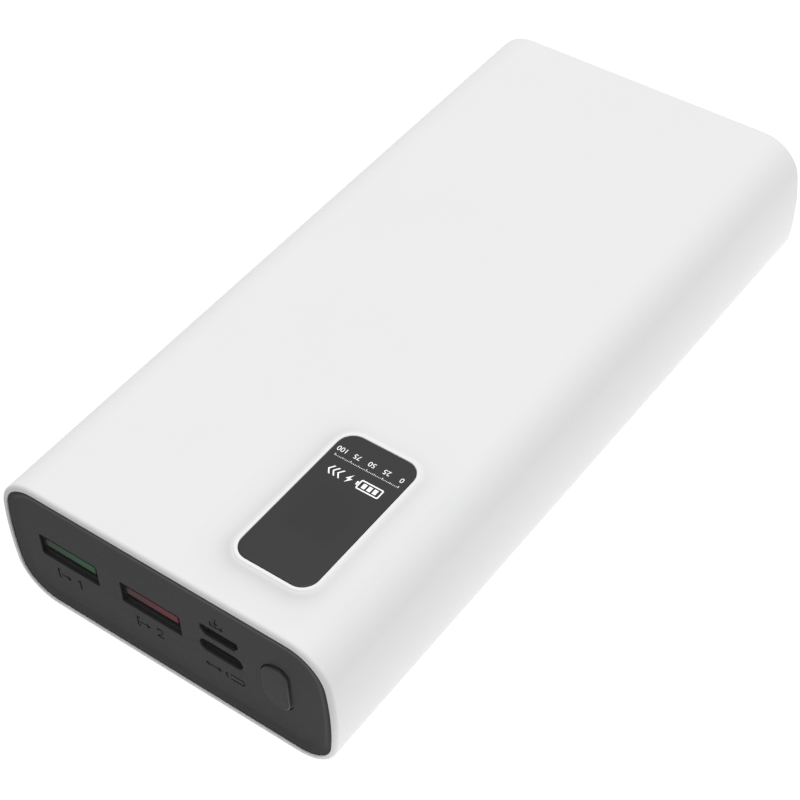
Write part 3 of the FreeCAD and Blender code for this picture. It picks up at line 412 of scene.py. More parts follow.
def with_painted_light(m, attribute):
    """Scales a material's colour and gloss by one plus a mesh attribute of painted light and shade, broken up by noise.
    """
    t = m.node_tree
    p = t.nodes["Principled BSDF"]
    at = t.nodes.new("ShaderNodeAttribute")
    at.attribute_name = attribute
    tc = t.nodes.new("ShaderNodeTexCoord")
    nz = add(t, "ShaderNodeTexNoise", Scale=420.0, Detail=3.0, Roughness=0.6)
    t.links.new(tc.outputs["Object"], nz.inputs["Vector"])
    mr = add(t, "ShaderNodeMapRange")
    mr.inputs["To Min"].default_value, mr.inputs["To Max"].default_value = 0.75, 1.25
    t.links.new(nz.outputs["Fac"], mr.inputs["Value"])
    mul = t.nodes.new("ShaderNodeMath")
    mul.operation = "MULTIPLY"
    t.links.new(at.outputs["Fac"], mul.inputs[0])
    t.links.new(mr.outputs["Result"], mul.inputs[1])
    one = t.nodes.new("ShaderNodeMath")
    one.operation = "ADD"
    one.inputs[1].default_value = 1.0
    t.links.new(mul.outputs["Value"], one.inputs[0])
    sc = t.nodes.new("ShaderNodeVectorMath")
    sc.operation = "SCALE"
    t.links.new(p.inputs["Base Color"].links[0].from_socket, sc.inputs[0])
    t.links.new(one.outputs["Value"], sc.inputs["Scale"])
    t.links.new(sc.outputs["Vector"], p.inputs["Base Color"])
    sp = t.nodes.new("ShaderNodeMath")
    sp.operation = "MULTIPLY"
    sp.inputs[1].default_value = p.inputs["Specular IOR Level"].default_value
    t.links.new(one.outputs["Value"], sp.inputs[0])
    t.links.new(sp.outputs["Value"], p.inputs["Specular IOR Level"])
    return m


def with_painted_side_shade(m, x0, x1, steps):
    """Mixes a material's colour along X from x0 to x1, in metres, to paint shade that darkens a part towards one side.
    steps are (place from 0 to 1, plain colour or None for the material's own)."""
    t = m.node_tree
    p = t.nodes["Principled BSDF"]
    tc = t.nodes.new("ShaderNodeTexCoord")
    sep = t.nodes.new("ShaderNodeSeparateXYZ")
    t.links.new(tc.outputs["Object"], sep.inputs["Vector"])
    colour = p.inputs["Base Color"].links[0].from_socket
    for (a, ca), (b, cb) in zip(steps, steps[1:]):
        mr = add(t, "ShaderNodeMapRange")
        mr.interpolation_type = "SMOOTHSTEP"
        mr.inputs["From Min"].default_value = x0 + (x1 - x0) * a
        mr.inputs["From Max"].default_value = x0 + (x1 - x0) * b
        t.links.new(sep.outputs["X"], mr.inputs["Value"])
        mx = t.nodes.new("ShaderNodeMix")
        mx.data_type = "RGBA"
        if a == steps[0][0]:
            mx.inputs["A"].default_value = (*ca, 1)
        else:
            t.links.new(last, mx.inputs["A"])
        if cb is None:
            t.links.new(colour, mx.inputs["B"])
        else:
            mx.inputs["B"].default_value = (*cb, 1)
        t.links.new(mr.outputs["Result"], mx.inputs["Factor"])
        last = mx.outputs["Result"]
    t.links.new(last, p.inputs["Base Color"])
    return m


# painted shade: the cap's colour is darker towards its left
DARK_CAP = with_painted_light(with_painted_side_shade(plastic("dark_cap_plastic", (0.0270, 0.0270, 0.0274), rough=0.50, grain=3000.0,
                                       bump=0.10, tint=0.05, spec=0.09),
                               -0.034, 0.010, [(0.0, (0.0234, 0.0234, 0.0237)), (1.0, None)]), "painted_edge_light")
# the button's colour and gloss carry the painted light and shade of its mesh attribute
DARK2 = with_painted_light(plastic("dark_button_plastic", (0.0266, 0.0266, 0.0270), rough=0.46, grain=3200.0, bump=0.08,
                           tint=0.05, spec=0.09), "painted_edge_light")


def tongue(name, node, colour):
    lo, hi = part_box(node)
    # painted shade: the tongue fades to a dark grey towards its left, where the socket wall shades it
    shade_tone = tuple(0.62 * g + 0.38 * c for g, c in zip((0.020, 0.021, 0.020), colour))
    m = with_painted_side_shade(plastic(name, colour, rough=0.48, bump=0.05, tint=0.08, spec=0.10), lo.x, hi.x,
                  [(0.0, tuple(0.25 * c for c in shade_tone)), (0.14, shade_tone), (0.80, None)])
    t = m.node_tree
    p = t.nodes["Principled BSDF"]
    # painted highlight: a paler line along the tongue's lower front edge
    tc = t.nodes.new("ShaderNodeTexCoord")
    sep = t.nodes.new("ShaderNodeSeparateXYZ")
    t.links.new(tc.outputs["Object"], sep.inputs["Vector"])
    mr = add(t, "ShaderNodeMapRange")
    mr.interpolation_type = "SMOOTHSTEP"
    mr.inputs["From Min"].default_value, mr.inputs["From Max"].default_value = lo.z + 0.00030, lo.z + 0.00058
    mr.inputs["To Min"].default_value, mr.inputs["To Max"].default_value = 2.1, 1.0
    t.links.new(sep.outputs["Z"], mr.inputs["Value"])
    sc = t.nodes.new("ShaderNodeVectorMath")
    sc.operation = "SCALE"
    t.links.new(p.inputs["Base Color"].links[0].from_socket, sc.inputs[0])
    t.links.new(mr.outputs["Result"], sc.inputs["Scale"])
    t.links.new(sc.outputs["Vector"], p.inputs["Base Color"])
    return m


GREEN = tongue("green_tongue_plastic", "usb_a_1_tongue", (0.014, 0.070, 0.030))
RED = tongue("red_tongue_plastic", "usb_a_2_tongue", (0.105, 0.016, 0.024))
BLACK = plastic("black_socket_plastic", (0.012, 0.012, 0.012), rough=0.5, bump=0.05, tint=0.1, spec=0.08)
STEEL = metal("socket_shell_black_nickel", (0.075, 0.075, 0.077), rough=0.46, metallic=0.35)
GOLD = metal("gold_plating", (0.83, 0.62, 0.26), rough=0.28)
NICKEL = metal("nickel_strip_metal", (0.66, 0.63, 0.58), rough=0.32)
CAN = metal("capacitor_can_metal", (0.80, 0.80, 0.81), rough=0.25)
SCREW = metal("screw_zinc", (0.60, 0.60, 0.62), rough=0.30)
TRAY = plastic("tray_plastic_black", (0.05, 0.05, 0.052), rough=0.55, bump=0.15, grain=1800.0, tint=0.1)
CHIP = plastic("chip_epoxy", (0.022, 0.022, 0.023), rough=0.6, bump=0.2, grain=5000.0, tint=0.12)
FERRITE = plastic("ferrite_block", (0.09, 0.09, 0.095), rough=0.7, bump=0.35, grain=4200.0, tint=0.2)
CERAMIC = plastic("ceramic_block", (0.42, 0.30, 0.19), rough=0.55, bump=0.12, grain=4200.0, tint=0.08)
FOAM = plastic("closed_cell_foam", (0.06, 0.06, 0.062), rough=0.95, bump=0.6, grain=1500.0, tint=0.2, spec=0.1)
TAPE = plastic("adhesive_tape", (0.03, 0.03, 0.03), rough=0.7, bump=0.2, grain=2200.0, tint=0.15)
SWITCH = plastic("switch_nylon", (0.45, 0.38, 0.25), rough=0.5, bump=0.08, tint=0.06)
WIRE_R = plastic("wire_silicone_red", (0.50, 0.02, 0.02), rough=0.48, bump=0.06, tint=0.06)
WIRE_K = plastic("wire_silicone_black", (0.025, 0.025, 0.025), rough=0.48, bump=0.06, tint=0.1)
DISPLAY = plastic("display_case_black", (0.03, 0.03, 0.03), rough=0.5, bump=0.06, tint=0.1)
LIGHT = plastic("display_segment_milk", (0.62, 0.66, 0.68), rough=0.4, bump=0.03, tint=0.03)


def pouch(name):
    """Laminated foil: metallic, faintly crumpled, with a milky outer film."""
    m, t, p = nodes_of(name)
    tc = t.nodes.new("ShaderNodeTexCoord")
    n1 = add(t, "ShaderNodeTexNoise", Scale=60.0, Detail=5.0, Roughness=0.65)
    n2 = add(t, "ShaderNodeTexNoise", Scale=900.0, Detail=2.0)
    for n in (n1, n2):
        t.links.new(tc.outputs["Object"], n.inputs["Vector"])
    rr = add(t, "ShaderNodeMapRange")
    rr.inputs["To Min"].default_value = 0.28
    rr.inputs["To Max"].default_value = 0.46
    t.links.new(n1.outputs["Fac"], rr.inputs["Value"])
    t.links.new(rr.outputs["Result"], p.inputs["Roughness"])
    mix = t.nodes.new("ShaderNodeMix")
    mix.data_type = "RGBA"
    mix.inputs["A"].default_value = (0.58, 0.59, 0.61, 1)
    mix.inputs["B"].default_value = (0.72, 0.73, 0.75, 1)
    t.links.new(n2.outputs["Fac"], mix.inputs["Factor"])
    t.links.new(mix.outputs["Result"], p.inputs["Base Color"])
    b = add(t, "ShaderNodeBump", Strength=0.35, Distance=0.0004)
    t.links.new(n1.outputs["Fac"], b.inputs["Height"])
    t.links.new(b.outputs["Normal"], p.inputs["Normal"])
    p.inputs["Metallic"].default_value = 0.75
    return m


def board(name):
    """Green solder mask with faint copper tracks under it."""
    m, t, p = nodes_of(name)
    tc = t.nodes.new("ShaderNodeTexCoord")
    w = add(t, "ShaderNodeTexBrick", Scale=220.0)
    w.inputs["Mortar Size"].default_value = 0.06
    w.inputs["Color1"].default_value = (0.012, 0.11, 0.045, 1)
    w.inputs["Color2"].default_value = (0.010, 0.095, 0.04, 1)
    w.inputs["Mortar"].default_value = (0.03, 0.20, 0.08, 1)
    fine = add(t, "ShaderNodeTexNoise", Scale=1600.0, Detail=2.0)
    for n in (w, fine):
        t.links.new(tc.outputs["Object"], n.inputs["Vector"])
    t.links.new(w.outputs["Color"], p.inputs["Base Color"])
    rr = add(t, "ShaderNodeMapRange")
    rr.inputs["To Min"].default_value = 0.28
    rr.inputs["To Max"].default_value = 0.42
    t.links.new(fine.outputs["Fac"], rr.inputs["Value"])
    t.links.new(rr.outputs["Result"], p.inputs["Roughness"])
    b = add(t, "ShaderNodeBump", Strength=0.25, Distance=0.00005)
    t.links.new(w.outputs["Fac"], b.inputs["Height"])
    t.links.new(b.outputs["Normal"], p.inputs["Normal"])
    return m


def smoked(name):
    """Smoked acrylic: a smooth dark front with the display's body faintly darker below it."""
    m, t, p = nodes_of(name)
    tc = t.nodes.new("ShaderNodeTexCoord")
    d_lo, d_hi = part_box("display_module")
    sep = t.nodes.new("ShaderNodeSeparateXYZ")
    t.links.new(tc.outputs["Object"], sep.inputs["Vector"])

    def band(axis, a, b, soft):
        lo = add(t, "ShaderNodeMapRange")
        lo.interpolation_type = "SMOOTHSTEP"
        lo.inputs["From Min"].default_value, lo.inputs["From Max"].default_value = a - soft, a + soft
        hi = add(t, "ShaderNodeMapRange")
        hi.interpolation_type = "SMOOTHSTEP"
        hi.inputs["From Min"].default_value, hi.inputs["From Max"].default_value = b - soft, b + soft
        hi.inputs["To Min"].default_value, hi.inputs["To Max"].default_value = 1.0, 0.0
        for n in (lo, hi):
            t.links.new(sep.outputs[axis], n.inputs["Value"])
        k = t.nodes.new("ShaderNodeMath")
        k.operation = "MULTIPLY"
        t.links.new(lo.outputs["Result"], k.inputs[0])
        t.links.new(hi.outputs["Result"], k.inputs[1])
        return k

    kx = band("X", d_lo.x + 0.0014, d_hi.x - 0.0014, 0.0012)
    ky = band("Y", d_lo.y + 0.0030, d_hi.y - 0.0055, 0.0012)
    k = t.nodes.new("ShaderNodeMath")
    k.operation = "MULTIPLY"
    t.links.new(kx.outputs["Value"], k.inputs[0])
    t.links.new(ky.outputs["Value"], k.inputs[1])
    cloud = add(t, "ShaderNodeTexNoise", Scale=90.0, Detail=2.0)
    t.links.new(tc.outputs["Object"], cloud.inputs["Vector"])
    base = t.nodes.new("ShaderNodeMix")
    base.data_type = "RGBA"
    base.inputs["A"].default_value = (0.0166, 0.0166, 0.0168, 1)
    base.inputs["B"].default_value = (0.0180, 0.0180, 0.0182, 1)
    t.links.new(cloud.outputs["Fac"], base.inputs["Factor"])
    mix = t.nodes.new("ShaderNodeMix")
    mix.data_type = "RGBA"
    mix.inputs["B"].default_value = (0.0150, 0.0150, 0.0152, 1)
    t.links.new(base.outputs["Result"], mix.inputs["A"])
    t.links.new(k.outputs["Value"], mix.inputs["Factor"])
    t.links.new(mix.outputs["Result"], p.inputs["Base Color"])
    wave = add(t, "ShaderNodeTexNoise", Scale=25.0, Detail=1.0)
    t.links.new(tc.outputs["Object"], wave.inputs["Vector"])
    b = add(t, "ShaderNodeBump", Strength=0.03, Distance=0.0004)
    t.links.new(wave.outputs["Fac"], b.inputs["Height"])
    t.links.new(b.outputs["Normal"], p.inputs["Normal"])
    p.inputs["Roughness"].default_value = 0.12
    p.inputs["Specular IOR Level"].default_value = 0.27
    return m


def ink(name):
    """White screen-printed ink."""
    m, t, p = nodes_of(name)
    tc = t.nodes.new("ShaderNodeTexCoord")
    fine = add(t, "ShaderNodeTexNoise", Scale=2500.0, Detail=2.0)
    t.links.new(tc.outputs["Object"], fine.inputs["Vector"])
    mix = t.nodes.new("ShaderNodeMix")
    mix.data_type = "RGBA"
    mix.inputs["A"].default_value = (0.78, 0.78, 0.78, 1)
    mix.inputs["B"].default_value = (0.90, 0.90, 0.90, 1)
    t.links.new(fine.outputs["Fac"], mix.inputs["Factor"])
    t.links.new(mix.outputs["Result"], p.inputs["Base Color"])
    p.inputs["Roughness"].default_value = 0.5
    return m


POUCH, BOARD, SMOKED, INK = pouch("cell_pouch_foil"), board("circuit_board_mask"), smoked("smoked_acrylic"), ink("white_ink")

# ------------------------------------------------------------------ outer sleeve
sol = Solid()
rf, rr_ = 0.6, 0.4
# front: seat wall, its broken edge, the narrow rim, the rounded outer edge
rows = [(LEDGE, SEAT), (FRONT + 0.08, SEAT)]
for k in range(1, 5):
    a = math.pi / 2 * k / 4
    rows.append((FRONT + 0.08 * (1 - math.sin(a)), SEAT - 0.08 * (1 - math.cos(a))))
rows.append((FRONT, rf + 0.02))
for k in range(0, 13):
    a = math.pi / 2 * k / 12
    rows.append((FRONT + rf * (1 - math.cos(a)), rf * (1 - math.sin(a))))
sol.loft([ring(y, i) for y, i in rows])
FLAT0, FLAT1, REACH = GAP + 0.16, GAP + 0.50, 5.2
FOOT, FOOT_H = 1.0, 0.34               # where the bead meets the tail, and how high that is
REACH_R = min(REACH, XC - 0.08 - (WX + LHX))      # the flat top ends sooner on the right
out = lambda off: rrect(WX, WY, LHX, LHY, LR, off, 14)


def tail(u):
    """An outline of the rim's long foot, from its outer edge (0) to the bead (1)."""
    o, r = REACH + (FOOT - REACH) * u, REACH_R + (FOOT - REACH_R) * u
    near = LR + (o + r) / 2
    return rrect(WX + (r - o) / 2, WY, LHX + (r + o) / 2, LHY + o, [LR + o, near, near, LR + o], 0.0, 14)


tube(sol, 0.0, FRONT + rf, REAR - rr_, up=[tail(0.0)])
rows = []
for k in range(0, 9):
    a = math.pi / 2 * k / 8
    rows.append((REAR - rr_ * (1 - math.sin(a)), rr_ * (1 - math.cos(a))))
sol.loft([ring(y, i) for y, i in rows])
sol.flat(profile(rr_), [], lambda x, z: (x, REAR, z + HZ))
# raised rim: a soft S-shaped slope, a slightly crowned flat, then down into the lens well
sol.loft([xy(tail(k / 20), H + FOOT_H * (k / 20) ** 2.4) for k in range(0, 21)])
rows = [(FOOT, H + FOOT_H)]
slope0 = 2.4 * FOOT_H / (REACH - FOOT)
for k in range(1, 9):
    u = k / 8
    # Hermite from the tail's slope, up and over on to the bead
    w, dz = FOOT - FLAT1, (RIM_H - 0.025) - FOOT_H
    h00, h10 = 2 * u ** 3 - 3 * u ** 2 + 1, u ** 3 - 2 * u ** 2 + u
    h01, h11 = -2 * u ** 3 + 3 * u ** 2, u ** 3 - u ** 2
    rows.append((FOOT - w * u, H + FOOT_H * h00 + slope0 * w * h10 + (RIM_H - 0.025) * h01 + 0.12 * w * h11))
for k in range(1, 5):
    u = k / 4
    rows.append((FLAT1 + (FLAT0 - FLAT1) * u, H + RIM_H - 0.025 * (1 - math.sin(math.pi / 2 * u))))
for k in range(1, 7):
    a = math.pi / 2 * k / 6
    rows.append((GAP + 0.16 * (1 - math.sin(a)), TOP_RIM - 0.16 * (1 - math.cos(a))))
well = l_lo.z - 0.1
rows += [(GAP, well), ]
sol.loft([xy(out(o), z) for o, z in rows])
view_loop = rrect(WX, WY, LHX - 1.3, LHY - 1.3, LR - 1.3, 0.0, 14)
sol.flat(out(GAP), [view_loop], lambda x, y: (x, y, well))
inner_top = H - WALL
sol.loft([xy(view_loop, well), xy(view_loop, inner_top)])
# inside: ledge, cavity with the four snap recesses, rear wall
snap = [rect(k * 14.0 - 4.1, FRONT + 6.05, k * 14.0 + 4.1, FRONT + 7.75) for k in (-1, 1)]
sol.flat(profile(SEAT), [profile(WALL)], lambda x, z: (x, LEDGE, z + HZ))
tube(sol, WALL, LEDGE, REAR - REAR_WALL, up=[view_loop] + snap, down=snap)
for q in snap:
    for z0, z1 in ((inner_top, inner_top + 0.6), (WALL, WALL - 0.6)):
        sol.loft([xy(q, z0), xy(q, z1)])
        sol.flat(q, [], lambda x, y: (x, y, z1))
sol.flat(profile(WALL), [], lambda x, z: (x, REAR - REAR_WALL, z + HZ))
sleeve = sol.done("case_sleeve", "housing", ["outer_sleeve"], WHITE_CASE)

# ------------------------------------------------------------------ front end cap
CZ = HZ                                     # mid height
USB_Z = sum(v.z for v in box("usb_a_1_shell")) / 2
ux = [sum(v.x for v in box("usb_a_%d_shell" % n)) / 2 for n in (1, 2)]
uc = [sum(v[k] for v in box("usb_c_shell")) / 2 for k in (0, 2)]
PX = uc[0]
bx, bz = (b_lo.x + b_hi.x) / 2, (b_lo.z + b_hi.z) / 2
FLANGE = 1.3
hole_w, hole_h = (b_hi.x - b_lo.x) - 2 * FLANGE, (b_hi.z - b_lo.z) - 2 * FLANGE
micro_lo, micro_hi = box("micro_usb_shell")
mz = CZ + 4.575


def micro_pts(half_top, half_low, hz, slant):
    return [(PX - half_low, mz - hz), (PX + half_low, mz - hz), (PX + half_top, mz - hz + slant),
            (PX + half_top, mz + hz), (PX - half_top, mz + hz), (PX - half_top, mz - hz + slant)]


def button_outline(b, off=0.0, foot=1.95):
    """The button's outline inside x0, z0, x1, z1: rounder on the left than on the right; foot is
    the radius of the lower right corner."""
    x0, z0, x1, z1 = b
    right = 1.95
    left = x1 - x0 - right
    return rpoly([(x0, z0), (x1, z0), (x1, z1), (x0, z1)], [x1 - x0 - foot, foot, right, left], off, 22)


holes = {
    "a1": lambda o: rrect(ux[0], USB_Z, 6.4, 2.5, 0.35, o, 6),
    "a2": lambda o: rrect(ux[1], USB_Z, 6.4, 2.5, 0.35, o, 6),
    "c": lambda o: pill(PX, CZ + 0.4, 8.9, 2.85, o, 14),
    "micro": lambda o: rpoly(micro_pts(3.9, 2.95, 1.175, 1.15), 0.3, o, 5),
    "button": lambda o: button_outline((20.2, 10.2, 26.42, 20.98), o, 2.55),
}
reliefs = {
    "a1": rrect(ux[0], USB_Z, 6.7, 3.01, 0.9, 0, 6),
    "a2": rrect(ux[1], USB_Z, 6.7, 3.01, 0.9, 0, 6),
    "micro": rect(PX - 3.95, micro_lo.z - 0.15, PX + 3.95, micro_hi.z + 0.15),
    "c": pill(PX, uc[1], 9.24, 3.5, 0, 14),
}
edge = {"a1": 0.09, "a2": 0.09, "c": 0.16, "micro": 0.14, "button": 0.07}
PIN = SEAT + GAP                       # the plate's own inset


def stroke(pts, w):
    """A thin polyline as one closed outline with mitred corners."""
    n = len(pts)
    left, right = [], []
    for i, p in enumerate(pts):
        p = Vector(p)
        d1 = (p - Vector(pts[i - 1])).normalized() if i else (Vector(pts[1]) - p).normalized()
        d2 = (Vector(pts[i + 1]) - p).normalized() if i < n - 1 else d1
        nrm = Vector((-(d1 + d2).y, (d1 + d2).x)).normalized()
        k = w / 2 / max(nrm.dot(Vector((-d1.y, d1.x))), 0.35)
        left.append(tuple(p + nrm * k))
        right.append(tuple(p - nrm * k))
    return left + right[::-1]


def arc_pts(cx, cy, r, a0, a1, n=8):
    return [(cx + r * math.cos(math.radians(a0 + (a1 - a0) * k / n)),
             cy + r * math.sin(math.radians(a0 + (a1 - a0) * k / n))) for k in range(n + 1)]


SW = 0.34                              # stroke width of the sunk marks
SINK = 0.17                            # how deep they go
marks = []


def arrow_out(x, z):
    """A bar with an arrow leaving it to the right: output."""
    marks.append(stroke([(x, z - 1.05), (x - 0.55, z - 1.05), (x - 0.55, z + 1.05), (x, z + 1.05)], SW))
    marks.append([(x - 0.1, z - 0.15), (x + 1.5, z - 0.15), (x + 1.5, z - 0.65), (x + 2.35, z), (x + 1.5, z + 0.65),
                  (x + 1.5, z + 0.15), (x - 0.1, z + 0.15)])


def digit(k, x, z):
    if k == 1:
        marks.append(stroke([(x - 0.45, z + 0.65), (x + 0.1, z + 1.08), (x + 0.1, z - 1.1)], SW))
    else:
        marks.append(stroke(arc_pts(x, z + 0.52, 0.56, 165, -40, 9) + [(x - 0.56, z - 0.95), (x + 0.75, z - 0.95)], SW))


ly = CZ - 4.45
for n in (1, 2):
    x0 = (-24.4 + 0.7) if n == 1 else (-6.7 + 0.7)
    arrow_out(x0, ly)
    digit(n, x0 + 4.35, ly)
# two-way mark and a plug outline below the USB-C opening
x0 = PX - 3.9
marks.append([(x0, ly), (x0 + 0.85, ly + 0.65), (x0 + 0.85, ly + 0.15), (x0 + 2.75, ly + 0.15), (x0 + 2.75, ly + 0.65),
              (x0 + 3.6, ly), (x0 + 2.75, ly - 0.65), (x0 + 2.75, ly - 0.15), (x0 + 0.85, ly - 0.15), (x0 + 0.85, ly - 0.65)])
for sgn in (1, -1):
    marks.append(stroke([(x0 + 5.3, ly + 0.62 * sgn)] + [(x0 + 7.6, ly + 0.62 * sgn)]
                        + arc_pts(x0 + 7.6, ly, 0.62, 90 * sgn, 12 * sgn, 6)[1:], SW))
marks.append(stroke(arc_pts(x0 + 5.0, ly, 0.62, 100, 260, 10), SW))
# an arrow into a tray above the micro-USB opening
zt = CZ + 8.05
xm = PX - 0.25
marks.append([(xm - 0.15, zt + 1.05), (xm - 0.15, zt + 0.1), (xm - 0.6, zt + 0.1), (xm, zt - 0.6), (xm + 0.6, zt + 0.1),
              (xm + 0.15, zt + 0.1), (xm + 0.15, zt + 1.05)])
marks.append(stroke([(xm - 1.15, zt - 0.15), (xm - 1.15, zt - 1.0), (xm + 1.15, zt - 1.0), (xm + 1.15, zt - 0.15)], SW))

sol = Solid()
BAND, CROWN = 3.9, 0.10                # width of the crowned edge band, and how far it falls


def face_y(x, z):
    return FACE


rows = [(LEDGE, PIN), (FACE + CROWN + 0.08, PIN)]
for k in range(1, 5):
    a = math.pi / 2 * k / 4
    rows.append((FACE + CROWN + 0.08 * (1 - math.sin(a)), PIN + 0.08 * (1 - math.cos(a))))
for t in (0.14, 0.24, 0.36, 0.5, 0.6, 0.7, 0.8, 0.9, 1.0, 1.12, 1.25, 1.4, 1.65, 1.9, 2.2, 2.5, 2.8, 3.1, 3.5, BAND):
    u = (t - 0.08) / (1.75 - 0.08)
    rows.append((FACE + CROWN * max(0.0, 1 - u) ** 2.2, PIN + t))
sol.loft([ring(y, i) for y, i in rows])
domain = [(x, z + HZ) for x, z in profile(PIN + BAND)]
cut = [holes[k](edge[k]) for k in holes]
sol.flat(domain, cut + marks, lambda x, z: (x, face_y(x, z), z))
for m in marks:
    sol.loft([[(x, face_y(x, z), z) for x, z in m], [(x, face_y(x, z) + SINK, z) for x, z in m]])
    sol.flat(m, [], lambda x, z: (x, face_y(x, z) + SINK, z))
floor_y = box("usb_a_1_shell")[0].y - 0.05
for k, loop in holes.items():
    e = edge[k]
    rows = []
    for j in range(0, 6):
        a = math.pi / 2 * j / 5
        rows.append(xz(loop(e * (1 - math.sin(a))), FACE + e * (1 - math.cos(a))))
    rows.append(xz(loop(0.0), floor_y if k in reliefs else LEDGE))
    sol.loft(rows)
    if k in reliefs:
        sol.flat(reliefs[k], [loop(0.0)], lambda x, z: (x, floor_y, z))
        sol.loft([xz(reliefs[k], floor_y), xz(reliefs[k], LEDGE)])
SK0, SK1 = WALL + 0.15, WALL + 0.15 + 1.5
SKE = LEDGE + 5.5
hooks = [rect(k * 14.0 - 4.0, FRONT + 6.15, k * 14.0 + 4.0, FRONT + 7.65) for k in (-1, 1)]
sol.flat(profile(PIN), [profile(SK0)], lambda x, z: (x, LEDGE, z + HZ))
tube(sol, SK0, LEDGE, SKE, up=hooks, down=hooks)
for q in hooks:
    for z0, z1 in ((H - SK0, inner_top + 0.5), (SK0, WALL - 0.5)):
        sol.loft([xy(q, z0), xy(q, z1)])
        sol.flat(q, [], lambda x, y: (x, y, z1))
sol.flat(profile(SK0), [profile(SK1)], lambda x, z: (x, SKE, z + HZ))
tube(sol, SK1, LEDGE, SKE)
back = [(x, z + HZ) for x, z in profile(SK1)]
sol.flat(back, list(reliefs.values()) + [holes["button"](0.0)], lambda x, z: (x, LEDGE, z))
cap = sol.done("end_cap", "housing", ["front_end_cap"], DARK_CAP)


def rim_distance(x, z):
    """How far a point of the face lies inside the case's outline, and which way the outline
    faces there."""
    ax, az = abs(x), abs(z - HZ)
    sx, sz = (1 if x >= 0 else -1), (1 if z >= HZ else -1)
    if ax <= XC:
        best = (HZ - az, (0.0, sz))
    else:
        best = (1e9, (0.0, sz))
    d0 = Vector((ax - (HX - R_SIDE), az))
    if math.atan2(d0.y, d0.x) <= ANG:
        d = R_SIDE - d0.length
        if d < best[0]:
            best = (d, (sx * d0.x / d0.length, sz * d0.y / d0.length))
    d1 = Vector((ax - XC, az - ZC))
    if d1.x > 0 and d1.length > 0 and math.atan2(d1.y, d1.x) >= ANG:
        d = R_CORNER - d1.length
        if d < best[0]:
            best = (d, (sx * d1.x / d1.length, sz * d1.y / d1.length))
    return best


def bump_at(v, a, b, c):
    """0 at a, 1 at b, 0 at c."""
    if v <= a or v >= c:
        return 0.0
    u = (v - a) / (b - a) if v < b else (c - v) / (c - b)
    return u * u * (3 - 2 * u)


# painted light and shade on the cap's face: a paler band along the upper and right edge with a thin darker line at the
# very edge there, a darker lower band and a slightly darker left edge
painted_edge = cap.data.attributes.new("painted_edge_light", "FLOAT", "POINT")
for i, v in enumerate(cap.data.vertices):
    x, y, z = v.co.x / MM, v.co.y / MM, v.co.z / MM
    w = 0.0
    if y < FACE + 0.5:
        d, (nx, nz) = rim_distance(x, z)
        t = d - PIN
        up = max(0.0, 0.75 * nz + 0.35 * nx)
        down = max(0.0, -nz)
        left = max(0.0, -nx) * (1 - down)
        w = (1.0 * bump_at(t, 0.5, 0.95, 1.6) - 0.26 * bump_at(t, -0.2, 0.3, 0.68)) * min(1.0, up * 1.25) \
            - 0.26 * min(1.0, max(0.0, (4.6 - t) / 1.6)) * min(1.0, t / 0.5 + 0.4) * (down ** 0.7) \
            - 0.12 * bump_at(t, -0.5, 0.9, 3.9) * left
        # painted highlight on the lip of the button hole's lower right
        if y > FACE + 0.02 and 24.0 < x < 27.0 and 9.6 < z < 13.5:     # the button hole's lower right lip
            w += 1.5 * bump_at(math.degrees(math.atan2(z - bz, x - bx)), -88.0, -64.0, -48.0)
    painted_edge.data[i].value = w

# ------------------------------------------------------------------ power button
sol = Solid()
BY, BACK = b_lo.y, b_hi.y
FL0 = LEDGE + 0.05
KEY = (20.42, 10.42, 25.90, 20.58)
kx, kz = (KEY[0] + KEY[2]) / 2 + 0.4, (KEY[1] + KEY[3]) / 2
crown = lambda o: button_outline(KEY, o)
ROUND, DOME = 0.18, 0.04
low = lambda o: holes["button"](-0.08 + o)        # the wider foot below the face
rows = [xz(low(0.0), FL0), xz(low(0.0), FACE + 0.30), xz(low(-0.05), FACE + 0.23), xz(crown(0.02), FACE + 0.17)]
for j in range(0, 9):
    a = math.pi / 2 * j / 8
    rows.append(xz(crown(-ROUND * (1 - math.cos(a))), BY + DOME + ROUND * (1 - math.sin(a))))
face_loop = crown(-ROUND)
for j in range(1, 13):
    u = j / 12 * 0.97
    rows.append([(kx + (x - kx) * (1 - u), BY + DOME * (1 - u) ** 2, kz + (z - kz) * (1 - u)) for x, z in face_loop])
sol.loft(rows)
sol.flat([(x, z) for x, _, z in rows[-1]], [], lambda x, z: (x, rows[-1][0][1], z))
fl = pill(bx, bz, hole_w + 2 * FLANGE, hole_h + 2 * FLANGE, 0.0, 22)
fl_in = pill(bx, bz, hole_w + 2 * FLANGE, hole_h + 2 * FLANGE, -0.15, 22)
sol.flat(fl, [low(0.0)], lambda x, z: (x, FL0, z))
sol.loft([xz(fl, FL0), xz(fl, FL0 + 0.85), xz(fl_in, FL0 + 1.0)])
pl_lo, pl_hi = box("tact_switch_plunger")
pc = ((pl_lo.x + pl_hi.x) / 2, (pl_lo.z + pl_hi.z) / 2)
stem = [(pc[0] + 1.3 * math.cos(2 * math.pi * k / 40), pc[1] + 1.3 * math.sin(2 * math.pi * k / 40)) for k in range(40)]
sol.flat(fl_in, [stem], lambda x, z: (x, FL0 + 1.0, z))
sol.loft([xz(stem, FL0 + 1.0), xz(stem, BACK)])
sol.flat(stem, [], lambda x, z: (x, BACK, z))
button = sol.done("push_button", "button", ["power_button"], DARK2)
